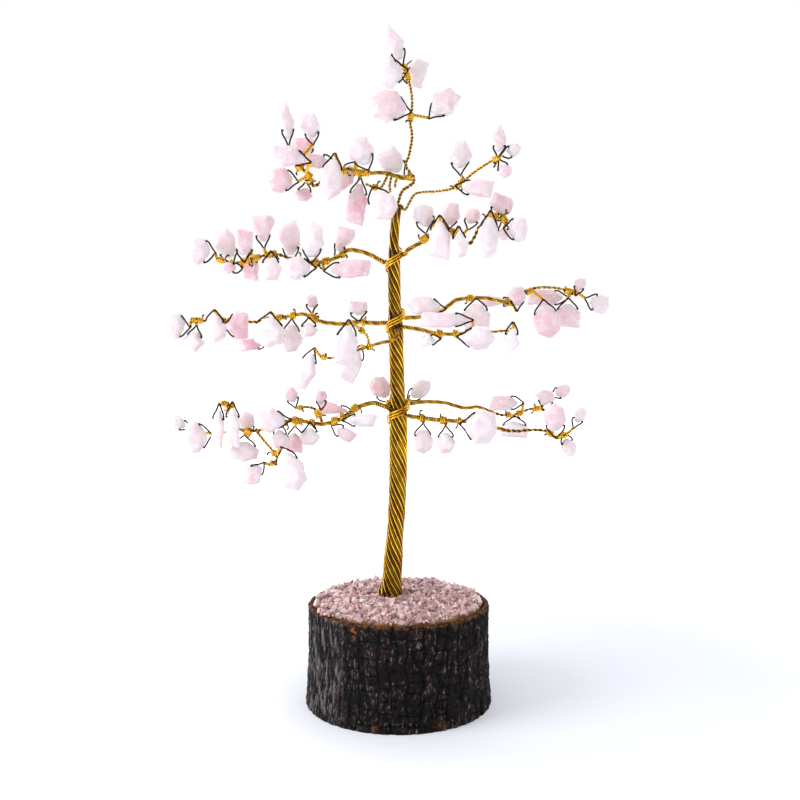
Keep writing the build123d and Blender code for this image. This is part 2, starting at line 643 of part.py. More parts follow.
def stone_chip(number, chip):
    """Tumbled chip with bevelled faces and a hole drilled across its narrow end."""
    outline = chip_outline(chip)
    half = chip_thickness(chip) / 2
    sections = []
    for level, scale, shift in chip_section_shares:
        points = [(x * scale + shift * chip_size, y * scale) for x, y in outline]
        sections.append(flat_ring(points, level * half))
    left, right, level = side_reach(chip)
    span = right - left + cut_overrun
    bore = Pos((left + right) / 2, level, 0) * Box(span, bore_side, bore_side)
    return chip_plane(number, chip).location * (ruled(sections) - bore)


def nearest_on(lines, point):
    """Nearest point of the stems to a point, with the number of its stem and its share along it."""
    best = None
    for number, line in enumerate(lines):
        for k, (a, b) in enumerate(zip(line, line[1:])):
            if number == 0 and k == 0:
                continue
            run = b - a
            share = min(1, max(0, (point - a).dot(run) / run.dot(run)))
            spot = a + run * share
            gap = (point - spot).length
            if best is None or gap < best[0]:
                best = (gap, spot, number, (k + share) / (len(line) - 1))
    return best


def chip_loop(name, number, chip):
    """Wire from the stem to a fork, up one side of the chip, through its bore and down the other."""
    plane = chip_plane(number, chip)
    left, right, level = side_reach(chip)
    bend = wire_diameter / 2 + loop_side_gap
    base = -chip_size * chip[3] / 2 - fork_reach
    half_fork = (wire_diameter + fork_gap) / 2
    fork = plane.from_local_coords(Vector(0, base, 0))
    gap, spot, stem, share = nearest_on(stem_points(name), fork)
    hand = 1 if plane.to_local_coords(spot).X > 0 else -1
    near, far = (right, left) if hand > 0 else (left, right)
    mouth = Vector(near + hand * bend, level, 0)
    exit_mouth = Vector(far - hand * bend, level, 0)
    fork_in = Vector(hand * half_fork, base, 0)
    fork_out = Vector(-hand * half_fork, base, 0)
    fork_out += (exit_mouth - fork_out) * fork_end_share
    path = [plane.from_local_coords(p) for p in (fork_in, mouth, exit_mouth, fork_out)]
    start = 0 if stem == 0 else side_stem_share
    clear = stem_radius(name, start + (1 - start) * share) + stalk_gap
    way = (path[0] - spot).normalized()
    if gap - clear > wire_diameter:
        path.insert(0, spot + way * clear)
    return tube(path, [wire_diameter / 2] * len(path), loop_sides)


pieces = {
    "log_wood": [log_wood()],
    "log_bark": [log_bark()],
    "glue_plug": [glue_plug()],
    "glue_bed": [glue_bed()],
    "gravel_stones": gravel_stones(),
    "trunk_core": [trunk_core()],
}
for tier in tiers:
    pieces[f"trunk_strands_{tier}"] = [strand(k) for k, last in enumerate(strand_tiers) if last == tier]
for tier in tiers[:-1]:
    pieces[f"collar_{tier}"] = collar(tier)
for name in twig_px_shares:
    chips = list(enumerate(twig_px_shares[name]["chips"]))
    pieces[f"{name}_stem"] = stem_tubes(name)
    pieces[f"{name}_loops"] = [chip_loop(name, number, chip) for number, chip in chips]
    pieces[f"{name}_chips"] = [stone_chip(number, chip) for number, chip in chips]

for name, solids in pieces.items():
    save(name, solids)
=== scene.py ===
import json
import logging
import math
import random
from collections.abc import Iterator
from dataclasses import dataclass, field
from enum import Enum

import bmesh
import bpy
import numpy
from mathutils import Matrix, Vector, noise
from mathutils.bvhtree import BVHTree

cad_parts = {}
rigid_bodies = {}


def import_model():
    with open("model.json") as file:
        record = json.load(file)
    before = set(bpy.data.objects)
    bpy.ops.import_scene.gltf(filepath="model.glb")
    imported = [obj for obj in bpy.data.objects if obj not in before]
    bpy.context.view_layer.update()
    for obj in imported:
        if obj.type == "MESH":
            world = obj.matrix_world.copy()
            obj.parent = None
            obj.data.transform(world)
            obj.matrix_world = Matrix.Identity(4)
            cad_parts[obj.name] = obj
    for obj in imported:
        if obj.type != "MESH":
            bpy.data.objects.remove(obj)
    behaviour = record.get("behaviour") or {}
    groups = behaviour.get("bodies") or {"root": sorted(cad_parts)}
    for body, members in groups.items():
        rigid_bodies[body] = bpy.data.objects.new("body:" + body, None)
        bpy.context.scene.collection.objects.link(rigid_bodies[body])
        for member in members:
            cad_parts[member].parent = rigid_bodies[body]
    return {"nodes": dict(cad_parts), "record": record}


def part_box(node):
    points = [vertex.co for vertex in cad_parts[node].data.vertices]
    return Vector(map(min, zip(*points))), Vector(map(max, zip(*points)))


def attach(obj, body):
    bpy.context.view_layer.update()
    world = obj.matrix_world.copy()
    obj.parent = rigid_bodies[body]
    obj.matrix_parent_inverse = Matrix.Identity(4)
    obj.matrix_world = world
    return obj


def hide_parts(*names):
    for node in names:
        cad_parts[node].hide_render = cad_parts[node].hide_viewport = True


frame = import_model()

log = logging.getLogger("gemstone_tree")

# Lengths are in metres and scales of noise in 1/m. Ways are degrees round the tree from its right side,
# anticlockwise from above, and a share is of the whole that its name says.

Colour = tuple[float, float, float, float]
Socket = bpy.types.NodeSocket
Grid = numpy.ndarray
MILLI = 0.001
HALF = (0.5, 0.5, 0.5)


class Slot(Enum):
    """Material slots of the record."""

    QUARTZ = "rose_quartz"
    BRASS = "brass_wire"
    LOOP = "loop_wire"
    WOOD = "sawn_wood"
    BARK = "bark"
    GLUE = "clear_glue"
    GRAVEL = "gravel"


class Tier(Enum):
    """Tiers of the trunk, from the log up."""

    LOWER = "lower"
    MIDDLE = "middle"
    UPPER = "upper"
    CROWN = "crown"


class Pen:
    """Writes nodes into a tree and links them."""

    def __init__(self, tree: bpy.types.NodeTree) -> None:
        """Write in the given node tree."""
        self.tree = tree

    def node(self, kind: str, inputs: dict | None = None, **settings: object) -> bpy.types.Node:
        """Add a node.

        Args:
            kind: Blender's name of the node type.
            inputs: Values or sockets by input name or number.
            settings: Properties of the node.

        Returns:
            The new node.
        """
        made = self.tree.nodes.new(kind)
        for name, value in settings.items():
            setattr(made, name, value)
        self.dress(made, inputs or {})
        return made

    def flow(self, kind: str, inputs: dict | None = None, **settings: object) -> Socket:
        """First output of a new node."""
        return self.node(kind, inputs, **settings).outputs[0]

    def dress(self, node: bpy.types.Node, inputs: dict) -> None:
        """Link inputs of a node to sockets, or set their values.

        Args:
            node: The node.
            inputs: Values or sockets by input name or number.
        """
        for name, value in inputs.items():
            if isinstance(value, Socket):
                self.tree.links.new(value, node.inputs[name])
            else:
                node.inputs[name].default_value = value

    def math(self, operation: str, *values: object) -> Socket:
        """Result of a Math node on numbers or sockets."""
        return self.flow("ShaderNodeMath", dict(enumerate(values)), operation=operation)

    def scale_add(self, value: object, factor: object, start: object) -> Socket:
        """A value times a factor, plus a start."""
        return self.math("ADD", self.math("MULTIPLY", value, factor), start)

    def vector(self, operation: str, *values: object) -> Socket:
        """Result of a Vector Math node: a vector, or the number of a length or distance."""
        made = self.node("ShaderNodeVectorMath", dict(enumerate(values)), operation=operation)
        return made.outputs["Value" if operation in ("LENGTH", "DISTANCE") else "Vector"]

    def scaled(self, vector: object, factor: object) -> Socket:
        """A vector times a factor."""
        return self.flow("ShaderNodeVectorMath", {0: vector, "Scale": factor}, operation="SCALE")

    def mix(self, share: object, low: object, high: object) -> Socket:
        """Mix of two colours by the share of the second."""
        return self.node("ShaderNodeMix", {0: share, 6: low, 7: high}, data_type="RGBA").outputs[2]

    def mixed(self, share: object, low: object, high: object) -> Socket:
        """Mix of two numbers by the share of the second."""
        return self.flow("ShaderNodeMix", {0: share, 2: low, 3: high})

    def stain(self, body: object, colour: Colour, mask: object, strength: float) -> Socket:
        """A body with a colour laid over it by a mask, at a given strength."""
        return self.mix(self.math("MULTIPLY", mask, strength), body, colour)

    def ramp(self, value: object, low: object, high: object) -> Socket:
        """Smooth step from 0 at a low value to 1 at a high one."""
        return self.node("ShaderNodeMapRange", {"Value": value, "From Min": low, "From Max": high},
                         interpolation_type="SMOOTHSTEP").outputs["Result"]

    def stretched(self, place: object, upright: float, middle: tuple = (0.0, 0.0, 0.0)) -> Socket:
        """Coordinates moved by a middle, with their height times a factor so that a pattern runs upright."""
        return self.flow("ShaderNodeMapping", {"Vector": place, "Location": middle, "Scale": (1, 1, upright)})

    def shade(self, name: str) -> Socket:
        """Value of a mesh attribute in a material."""
        return self.node("ShaderNodeAttribute", attribute_name=name).outputs["Fac"]

    def named(self, name: str, kind: str = "FLOAT") -> Socket:
        """Named attribute in a Geometry Nodes tree."""
        return self.flow("GeometryNodeInputNamedAttribute", {"Name": name}, data_type=kind)

    def store(self, geometry: Socket, name: str, value: Socket, kind: str = "FLOAT",
              domain: str = "POINT") -> Socket:
        """Geometry with a named attribute stored on it."""
        inputs = {"Geometry": geometry, "Name": name, "Value": value}
        return self.flow("GeometryNodeStoreNamedAttribute", inputs, data_type=kind, domain=domain)

    def draw(self, low: object, high: object, seed: int, kind: str = "FLOAT") -> Socket:
        """Random value of a kind between two limits, for each element."""
        return self.node("FunctionNodeRandomValue", {"Min": low, "Max": high, "Seed": seed},
                         data_type=kind).outputs["Value"]


def blank(owner: bpy.types.Material | bpy.types.World) -> Pen:
    """Empty the node tree of a material or a world.

    Args:
        owner: The material or world.

    Returns:
        A pen for its tree.
    """
    owner.use_nodes = True
    owner.node_tree.nodes.clear()
    return Pen(owner.node_tree)


def new_group(name: str, kind: str, inputs: dict, outputs: dict) -> bpy.types.NodeTree:
    """Make a node group with named sockets.

    Args:
        name: Name of the group.
        kind: Tree type.
        inputs: Default of each input by its name, or the kind of one that has no default.
        outputs: Kind of each output by its name.

    Returns:
        The empty group.
    """
    group = bpy.data.node_groups.new(name, kind)
    kinds = {bool: "Bool", int: "Int", float: "Float"}
    for label, value in inputs.items():
        words = kinds.get(type(value), value)
        socket = group.interface.new_socket(name=label, in_out="INPUT", socket_type=f"NodeSocket{words}")
        if words != value:
            socket.default_value = value
    for label, words in outputs.items():
        group.interface.new_socket(name=label, in_out="OUTPUT", socket_type=f"NodeSocket{words}")
    return group


def mottle_group() -> bpy.types.NodeTree:
    """Shader group: soft patches of a given size.

    Returns:
        The group, with a Mask from 0 to 1.
    """
    group = new_group("mottle", "ShaderNodeTree",
                      {"Vector": "Vector", "Scale": 200.0, "Detail": 4.0, "Warp": 0.0, "Low": 0.4, "High": 0.6},
                      {"Mask": "Float"})
    pen = Pen(group)
    given = pen.node("NodeGroupInput").outputs
    cloud = pen.flow("ShaderNodeTexNoise", {"Vector": given["Vector"], "Scale": given["Scale"],
                                            "Detail": given["Detail"], "Distortion": given["Warp"]})
    pen.node("NodeGroupOutput", {"Mask": pen.ramp(cloud, given["Low"], given["High"])})
    return group


def grit_group() -> bpy.types.NodeTree:
    """Shader group: a fine rough surface.

    Returns:
        The group, with a Normal.
    """
    group = new_group("grit", "ShaderNodeTree",
                      {"Vector": "Vector", "Scale": 2000.0, "Strength": 0.2, "Depth": 0.0001},
                      {"Normal": "Vector"})
    pen = Pen(group)
    given = pen.node("NodeGroupInput").outputs
    grain = pen.flow("ShaderNodeTexNoise", {"Vector": given["Vector"], "Scale": given["Scale"],
                                            "Detail": 6.0, "Roughness": 0.6})
    bump = pen.flow("ShaderNodeBump", {"Strength": given["Strength"], "Distance": given["Depth"],
                                       "Height": grain})
    pen.node("NodeGroupOutput", {"Normal": bump})
    return group


@dataclass(frozen=True)
class Patches:
    """Soft patches: their number in a metre, the noise that gives 0 and 1, its octaves and its warp."""

    scale: float
    low: float
    high: float
    detail: float = 4.0
    warp: float = 0.0


@dataclass(frozen=True)
class Grit:
    """A gritty face: its grains in a metre, its strength and its depth in metres."""

    scale: float
    strength: float
    depth: float


@dataclass(frozen=True)
class Finish:
    """A material with the groups that all finishes share."""

    name: str
    mottle: bpy.types.NodeTree
    grit: bpy.types.NodeTree

    def start(self) -> tuple[bpy.types.Material, Pen, bpy.types.Node, Socket]:
        """Start a material.

        Returns:
            The material, its pen, its Principled shader and its Object coordinates.
        """
        material = bpy.data.materials.new(self.name)
        pen = blank(material)
        shader = pen.node("ShaderNodeBsdfPrincipled")
        pen.node("ShaderNodeOutputMaterial", {"Surface": shader.outputs[0]})
        return material, pen, shader, pen.node("ShaderNodeTexCoord").outputs["Object"]

    def patched(self, pen: Pen, place: Socket, look: Patches) -> Socket:
        """Lay soft patches over the material.

        Args:
            pen: The material's pen.
            place: The coordinates to lay them by.
            look: The patches.

        Returns:
            Their mask from 0 to 1.
        """
        inputs = {"Vector": place, "Scale": look.scale, "Detail": look.detail, "Warp": look.warp,
                  "Low": look.low, "High": look.high}
        return pen.node("ShaderNodeGroup", inputs, node_tree=self.mottle).outputs["Mask"]

    def rough(self, pen: Pen, place: Socket, look: Grit) -> Socket:
        """Normal of a gritty face."""
        inputs = {"Vector": place, "Scale": look.scale, "Strength": look.strength, "Depth": look.depth}
        return pen.node("ShaderNodeGroup", inputs, node_tree=self.grit).outputs["Normal"]


@dataclass(frozen=True)
class QuartzFinish(Finish):
    """Tumbled rose quartz: pale, cloudy and soft in the light."""

    pale: Colour = (1.0, 0.84, 0.87, 1)
    deep: Colour = (0.86, 0.49, 0.57, 1)
    milk: Colour = (1.0, 0.90, 0.92, 1)
    vein: Colour = (0.80, 0.46, 0.53, 1)
    glow: float = 0.7
    glow_depth: float = 0.0024
    glow_reach: tuple[float, float, float] = (1.0, 0.62, 0.66)
    refraction: float = 1.54
    polish: float = 0.15
    matt: float = 0.2
    worn_matt: float = 0.22
    tint_least: float = 0.4
    milk_share: float = 0.6
    vein_share: float = 0.3
    cloudy: Patches = Patches(260, 0.35, 0.7, 5)
    milky: Patches = Patches(420, 0.56, 0.68, 6, 1.5)
    veined: Patches = Patches(330, 0.63, 0.70, 8, 3.0)
    scuffed: Patches = Patches(900, 0.35, 0.75, 5)
    pitted: Grit = Grit(1500, 0.35, 0.00012)

    def build(self) -> bpy.types.Material:
        """Build the material from the chip's own tint and clouds.

        Returns:
            The material.
        """
        material, pen, shader, place = self.start()
        cloud = self.patched(pen, place, self.cloudy)
        clouded = pen.scale_add(cloud, 1 - self.tint_least, self.tint_least)
        share = pen.math("MULTIPLY", pen.shade("tint"), clouded)
        body = pen.mix(share, self.pale, self.deep)
        body = pen.stain(body, self.milk, self.patched(pen, place, self.milky), self.milk_share)
        body = pen.stain(body, self.vein, self.patched(pen, place, self.veined), self.vein_share)
        worn = self.patched(pen, place, self.scuffed)
        pen.dress(shader, {"Base Color": body,
                           "Roughness": pen.scale_add(worn, self.worn_matt, self.matt),
                           "Normal": self.rough(pen, place, self.pitted),
                           "Subsurface Weight": self.glow, "Subsurface Radius": self.glow_reach,
                           "Subsurface Scale": self.glow_depth, "IOR": self.refraction,
                           "Coat Weight": self.polish})
        return material


@dataclass(frozen=True)
class WireFinish(Finish):
    """Drawn wire, dark and matt where wires lie against each other as painted shade, with a second colour that
    is painted shade on the brass and a golden twist on the loops.
    """

    bright: Colour = (1.0, 0.63, 0.055, 1)
    dull: Colour = (0.74, 0.34, 0.018, 1)
    # On the brass, a dark second colour on the wires of high tone: painted shade; on the loops it is their
    # golden twist.
    second: Colour = (0.085, 0.026, 0.003, 1)
    # Near-black, matt and not metallic where wires lie against each other: painted shade.
    crease_shade: Colour = (0.022, 0.006, 0.001, 1)
    crease_shade_low: float = 0.52
    crease_shade_high: float = 0.80
    sheen: float = 0.22
    smear: float = 0.16
    matt: float = 0.75
    tarnished: Patches = Patches(380, 0.4, 0.68)
    blotched: Patches = Patches(90, 0.15, 0.45)
    smeared: Patches = Patches(1800, 0.3, 0.7)
    drawn: Grit = Grit(5000, 0.15, 0.00003)

    def build(self) -> bpy.types.Material:
        """Build the material, with painted shade where a point lies deep in its bundle.

        Returns:
            The material.
        """
        material, pen, shader, place = self.start()
        metal = pen.mix(self.patched(pen, place, self.tarnished), self.bright, self.dull)
        toned = pen.math("MULTIPLY", pen.shade("tone"), self.patched(pen, place, self.blotched))
        metal = pen.mix(toned, metal, self.second)
        # Share of the surface outside the painted shade; it also sets how metallic the wire is.
        unshaded_share = pen.ramp(pen.shade("outward"), self.crease_shade_low, self.crease_shade_high)
        sheen = pen.scale_add(self.patched(pen, place, self.smeared), self.smear, self.sheen)
        pen.dress(shader, {"Base Color": pen.mix(unshaded_share, self.crease_shade, metal), "Metallic": unshaded_share,
                           "Roughness": pen.mixed(unshaded_share, self.matt, sheen),
                           "Normal": self.rough(pen, place, self.drawn)})
        return material


@dataclass(frozen=True)
class BarkFinish(Finish):
    """Charcoal bark with grey ridges, part weathered and part painted highlight, a grey side towards the lamp
    that is part painted light, cracks painted near-black as shade, and raw orange patches.
    """

    plate: Colour = (0.0072, 0.0046, 0.0050, 1)
    # Grey of the raised ridges and the grey side: partly weathered bark, partly painted highlight and light.
    ridge: Colour = (0.19, 0.172, 0.182, 1)
    # Near-black painted into cracks and deep furrows: painted shade.
    crack: Colour = (0.0015, 0.001, 0.001, 1)
    rust: Colour = (0.060, 0.022, 0.014, 1)
    raw: Colour = (0.36, 0.12, 0.025, 1)
    mirror: float = 0.22
    matt: float = 0.85
    ridge_matt: float = 0.5
    silver_share: float = 0.8
    rust_share: float = 0.45
    raw_share: float = 0.35
    long_grain: float = 0.3
    long_fibre: float = 0.14
    ridge_step: tuple[float, float] = (0.50, 0.85)
    fibre_step: tuple[float, float] = (0.35, 0.7)
    crack_shade_step: tuple[float, float] = (0.45, 0.2)
    dusty: Patches = Patches(2600, 0.49, 0.62)
    cloudy: Patches = Patches(170, 0.38, 0.58, 3)
    streaked: Patches = Patches(1300, 0.47, 0.63, 6)
    rusty: Patches = Patches(170, 0.52, 0.74, 8)
    chipped: Patches = Patches(1100, 0.70, 0.78, 6)
    frayed: Patches = Patches(700, 0.36, 0.58, 6)
    coarse: Grit = Grit(2200, 0.9, 0.0004)

    def build(self) -> bpy.types.Material:
        """Build the material from the relief's attributes.

        Returns:
            The material.
        """
        material, pen, shader, place = self.start()
        relief = pen.shade("relief")
        upright = pen.stretched(place, self.long_grain)
        # Lighter grey on raised ridges in fine flecks and clouds: partly weathered bark, partly painted
        # highlight.
        dust = self.patched(pen, upright, self.dusty)
        cloud = self.patched(pen, place, self.cloudy)
        rubbed_and_highlit = pen.math("MULTIPLY", pen.ramp(relief, *self.ridge_step), pen.math("MULTIPLY", dust, cloud))
        streak = self.patched(pen, pen.stretched(place, self.long_fibre), self.streaked)
        fibres = pen.math("MULTIPLY", streak, pen.ramp(relief, *self.fibre_step))
        # Grey streaks on the side towards the key lamp: partly the bark's smoother grey side, partly painted
        # light.
        grey = pen.math("MULTIPLY", pen.shade("silver"), fibres)
        rubbed_and_highlit = pen.math("MAXIMUM", rubbed_and_highlit, pen.math("MULTIPLY", grey, self.silver_share))
        body = pen.mix(rubbed_and_highlit, self.plate, self.ridge)
        body = pen.stain(body, self.rust, self.patched(pen, place, self.rusty), self.rust_share)
        # Low relief painted near-black: painted shade in the cracks and furrows.
        body = pen.mix(pen.ramp(relief, *self.crack_shade_step), body, self.crack)
        body = pen.stain(body, self.raw, self.patched(pen, place, self.chipped), self.raw_share)
        fray = pen.math("MULTIPLY", pen.shade("worn"), self.patched(pen, place, self.frayed))
        pen.dress(shader, {"Base Color": pen.mix(fray, body, self.raw),
                           "Roughness": pen.mixed(rubbed_and_highlit, self.matt, self.ridge_matt),
                           "Specular IOR Level": self.mirror,
                           "Normal": self.rough(pen, upright, self.coarse)})
        return material


@dataclass(frozen=True)
class WoodFinish(Finish):
    """Sawn end grain with growth rings round the pith."""

    early: Colour = (0.46, 0.25, 0.10, 1)
    late: Colour = (0.24, 0.10, 0.03, 1)
    pith: tuple[float, float, float] = (0.003, -0.002, 0.0)
    ring_scale: float = 330.0
    ring_step: tuple[float, float] = (0.35, 0.9)
    matt: float = 0.72
    stain_share: float = 0.5
    stained: Patches = Patches(260, 0.45, 0.7, 6)
    sawn: Grit = Grit(2600, 0.5, 0.0002)

    def build(self) -> bpy.types.Material:
        """Build the material.

        Returns:
            The material.
        """
        material, pen, shader, place = self.start()
        rings = pen.node("ShaderNodeTexWave", {"Vector": pen.stretched(place, 0.05, self.pith),
                                               "Scale": self.ring_scale, "Distortion": 2.5,
                                               "Detail": 3.0, "Detail Scale": 0.6},
                         wave_type="RINGS", rings_direction="Z").outputs["Fac"]
        body = pen.mix(pen.ramp(rings, *self.ring_step), self.early, self.late)
        body = pen.stain(body, self.late, self.patched(pen, place, self.stained), self.stain_share)
        pen.dress(shader, {"Base Color": body, "Roughness": self.matt,
                           "Normal": self.rough(pen, place, self.sawn)})
        return material


@dataclass(frozen=True)
class GravelFinish(Finish):
    """Crushed rose stone, each grain its own shade."""

    pale: Colour = (0.92, 0.76, 0.76, 1)
    rose: Colour = (0.60, 0.36, 0.36, 1)
    dark: Colour = (0.15, 0.065, 0.075, 1)
    glow: float = 0.2
    glow_depth: float = 0.0006
    refraction: float = 1.54
    matt: float = 0.16
    cloud_matt: float = 0.3
    cloud_share: float = 0.25
    rose_step: tuple[float, float] = (0.0, 0.35)
    pale_step: tuple[float, float] = (0.45, 1.0)
    cloudy: Patches = Patches(900, 0.4, 0.7, 5)
    pitted: Grit = Grit(3000, 0.3, 0.0001)

    def build(self) -> bpy.types.Material:
        """Build the material from each grain's shade.

        Returns:
            The material.
        """
        material, pen, shader, place = self.start()
        shade = pen.shade("shade")
        body = pen.mix(pen.ramp(shade, *self.rose_step), self.dark, self.rose)
        body = pen.mix(pen.ramp(shade, *self.pale_step), body, self.pale)
        cloud = self.patched(pen, place, self.cloudy)
        pen.dress(shader, {"Base Color": pen.stain(body, self.pale, cloud, self.cloud_share),
                           "Roughness": pen.scale_add(cloud, self.cloud_matt, self.matt),
                           "IOR": self.refraction,
                           "Subsurface Weight": self.glow, "Subsurface Scale": self.glow_depth,
                           "Normal": self.rough(pen, place, self.pitted)})
        return material


@dataclass(frozen=True)
class GlueFinish(Finish):
    """Cured glue stained by the gravel's dust."""

    clear: Colour = (0.42, 0.27, 0.27, 1)
    pink: Colour = (0.62, 0.45, 0.46, 1)
    matt: float = 0.15
    dust_matt: float = 0.4
    dusty: Patches = Patches(800, 0.35, 0.7, 6)
    rippled: Grit = Grit(1500, 0.6, 0.0003)

    def build(self) -> bpy.types.Material:
        """Build the material.

        Returns:
            The material.
        """
        material, pen, shader, place = self.start()
        dust = self.patched(pen, place, self.dusty)
        pen.dress(shader, {"Base Color": pen.mix(dust, self.clear, self.pink),
                           "Roughness": pen.scale_add(dust, self.dust_matt, self.matt),
                           "Normal": self.rough(pen, place, self.rippled)})
        return material


class Palette:
    """All the object's finishes, one for each slot."""

    def __init__(self) -> None:
        """Build the shared groups and the materials."""
        shared = {"mottle": mottle_group(), "grit": grit_group()}
        dark_wire = {"bright": (0.055, 0.022, 0.008, 1), "dull": (0.022, 0.009, 0.004, 1),
                     "second": (0.90, 0.53, 0.05, 1), "sheen": 0.34}
        kinds = {Slot.QUARTZ: (QuartzFinish, {}), Slot.BRASS: (WireFinish, {}),
                 Slot.LOOP: (WireFinish, dark_wire), Slot.WOOD: (WoodFinish, {}),
                 Slot.BARK: (BarkFinish, {}), Slot.GLUE: (GlueFinish, {}), Slot.GRAVEL: (GravelFinish, {})}
        self.by_slot = {slot: kind(slot.value, **shared, **own).build()
                        for slot, (kind, own) in kinds.items()}

    def __getitem__(self, slot: Slot) -> bpy.types.Material:
        """Material of a slot."""
        return self.by_slot[slot]


@dataclass(frozen=True)
class Near:
    """Nearest place of a line to a point: how far and where it is, the line's way and its radius there."""

    gap: float
    spot: Vector
    way: Vector
    radius: float


@dataclass
class Line:
    """Centre line of a wire in the frame, with its radius at every point."""

    points: list[Vector]
    radii: list[float]

    def turned(self) -> "Line":
        """The same line from its other end."""
        return Line(self.points[::-1], self.radii[::-1])

    def rising(self) -> "Line":
        """The same line from its lower end."""
        return self.turned() if self.points[0].z > self.points[-1].z else self

    def nearest(self, point: Vector) -> Near:
        """Find the line's nearest place.

        Args:
            point: The point to look from.

        Returns:
            The place.
        """
        best = Near(math.inf, self.points[0], Vector((0, 0, 1)), self.radii[0])
        for k, (low, high) in enumerate(zip(self.points, self.points[1:])):
            run = high - low
            share = min(1.0, max(0.0, (point - low).dot(run) / run.length_squared))
            gap = (point - low - run * share).length
            if gap < best.gap:
                radius = self.radii[k] * (1 - share) + self.radii[k + 1] * share
                best = Near(gap, low + run * share, run.normalized(), radius)
        return best


def islands(mesh: bmesh.types.BMesh) -> Iterator[list[bmesh.types.BMVert]]:
    """Walk a mesh's groups of points that hang together.

    Args:
        mesh: The mesh.

    Yields:
        The points of each group.
    """
    seen: set[bmesh.types.BMVert] = set()
    for start in mesh.verts:
        if start in seen:
            continue
        group, queue = [], [start]
        seen.add(start)
        while queue:
            vert = queue.pop()
            group.append(vert)
            for edge in vert.link_edges:
                other = edge.other_vert(vert)
                if other not in seen:
                    seen.add(other)
                    queue.append(other)
        yield group


@dataclass(frozen=True)
class Reader:
    """Reads a CAD node: its separate solids, and the centre lines of its wires."""

    merge: float = 1e-7
    flat: float = 0.99999

    def solids(self, node: str) -> list[tuple[list[Vector], list[list[int]]]]:
        """Read the separate solids of a node.

        Args:
            node: Name of the node.

        Returns:
            The points and triangles of each solid.
        """
        mesh = bmesh.new()
        mesh.from_mesh(frame["nodes"][node].data)
        bmesh.ops.remove_doubles(mesh, verts=mesh.verts, dist=self.merge)
        found = []
        for group in islands(mesh):
            number = {vert: k for k, vert in enumerate(group)}
            faces = {face for vert in group for face in vert.link_faces}
            rows = [[number[v] for v in face.verts] for face in sorted(faces, key=lambda f: f.index)]
            found.append(([vert.co.copy() for vert in group], rows))
        mesh.free()
        return found

    def lines(self, node: str, sides: int) -> list[Line]:
        """Centre lines of a node's faceted wires, which have a given number of sides."""
        return [self.line(points, faces, sides) for points, faces in self.solids(node)]

    def line(self, points: list[Vector], faces: list[list[int]], sides: int) -> Line:
        """Walk a faceted wire ring by ring from one flat end.

        Args:
            points: The wire's points.
            faces: Its triangles.
            sides: Number of its sides.

        Returns:
            The centre line.
        """
        links: dict[int, set[int]] = {k: set() for k in range(len(points))}
        for face in faces:
            for a in face:
                links[a].update(b for b in face if b != a)
        for cap in self.caps(points, faces, sides):
            rings, used = [cap], set(cap)
            while len(used) < len(points):
                ahead = {b for a in rings[-1] for b in links[a]} - used
                if len(ahead) != sides:
                    break
                rings.append(ahead)
                used |= ahead
            if len(used) == len(points):
                centres = [sum((points[k] for k in ring), Vector()) / sides for ring in rings]
                radii = [sum((points[k] - middle).length for k in ring) / sides
                         for ring, middle in zip(rings, centres)]
                return Line(centres, radii)
        raise ValueError("a wire's rings can't be followed")

    def caps(self, points: list[Vector], faces: list[list[int]], sides: int) -> list[set[int]]:
        """Find the flat groups of triangles that may be a wire's end.

        Args:
            points: The wire's points.
            faces: Its triangles.
            sides: Number of its sides.

        Returns:
            The point numbers of each candidate.
        """
        normals = [(points[b] - points[a]).cross(points[c] - points[a]).normalized() for a, b, c in faces]
        found = []
        for start, face in enumerate(faces):
            group, used = set(face), {start}
            grown = True
            while grown:
                grown = False
                for k, other in enumerate(faces):
                    if k not in used and len(group & set(other)) >= 2 and \
                            normals[start].dot(normals[k]) > self.flat:
                        group |= set(other)
                        used.add(k)
                        grown = True
            if len(group) == sides and len(used) == sides - 2 and group not in found:
                found.append(group)
        return found


@dataclass
class Route:
    """A line for the weaver, with how far from it the wires lie and how they turn round it."""

    points: list[Vector]
    lay: list[float] = field(default_factory=list)
    phase: float = 0.0
    pitch: float = 0.0026
    hubs: list[Vector] = field(default_factory=list)
    tone: float = 0.0
    # Extra reach that paints a wire darker in its hollows, as shade, without moving it.
    shade_sink: float = 0.0
    tones: list[float] = field(default_factory=list)

    def __post_init__(self) -> None:
        """Lay a wire on the line itself, and give it one tone, where nothing else is said."""
        self.lay = self.lay or [0.0] * len(self.points)
        self.tones = self.tones or [self.tone] * len(self.points)

    def turns(self) -> list[float]:
        """Follow the turning of the first wire.

        Returns:
            Its angle at every point.
        """
        angles = [self.phase]
        for low, high in zip(self.points, self.points[1:]):
            angles.append(angles[-1] + 2 * math.pi * (high - low).length / self.pitch)
        return angles

    def reaches(self) -> list[float]:
        """Distance of the wires' middles from the hub at every point, more for a wire that gets painted shade.
        """
        reach = [(point - hub).length for point, hub in zip(self.points, self.hubs)] or self.lay
        return [length + self.shade_sink for length in reach]


@dataclass(frozen=True)
class Weave:
    """How wires are laid along a route."""

    wire_radius: float
    strands: int = 1
    step: float = 0.00025
    sides: int = 7
    wobble: float = 0.0
    round_hub: bool = False
    contrast: float = 0.0


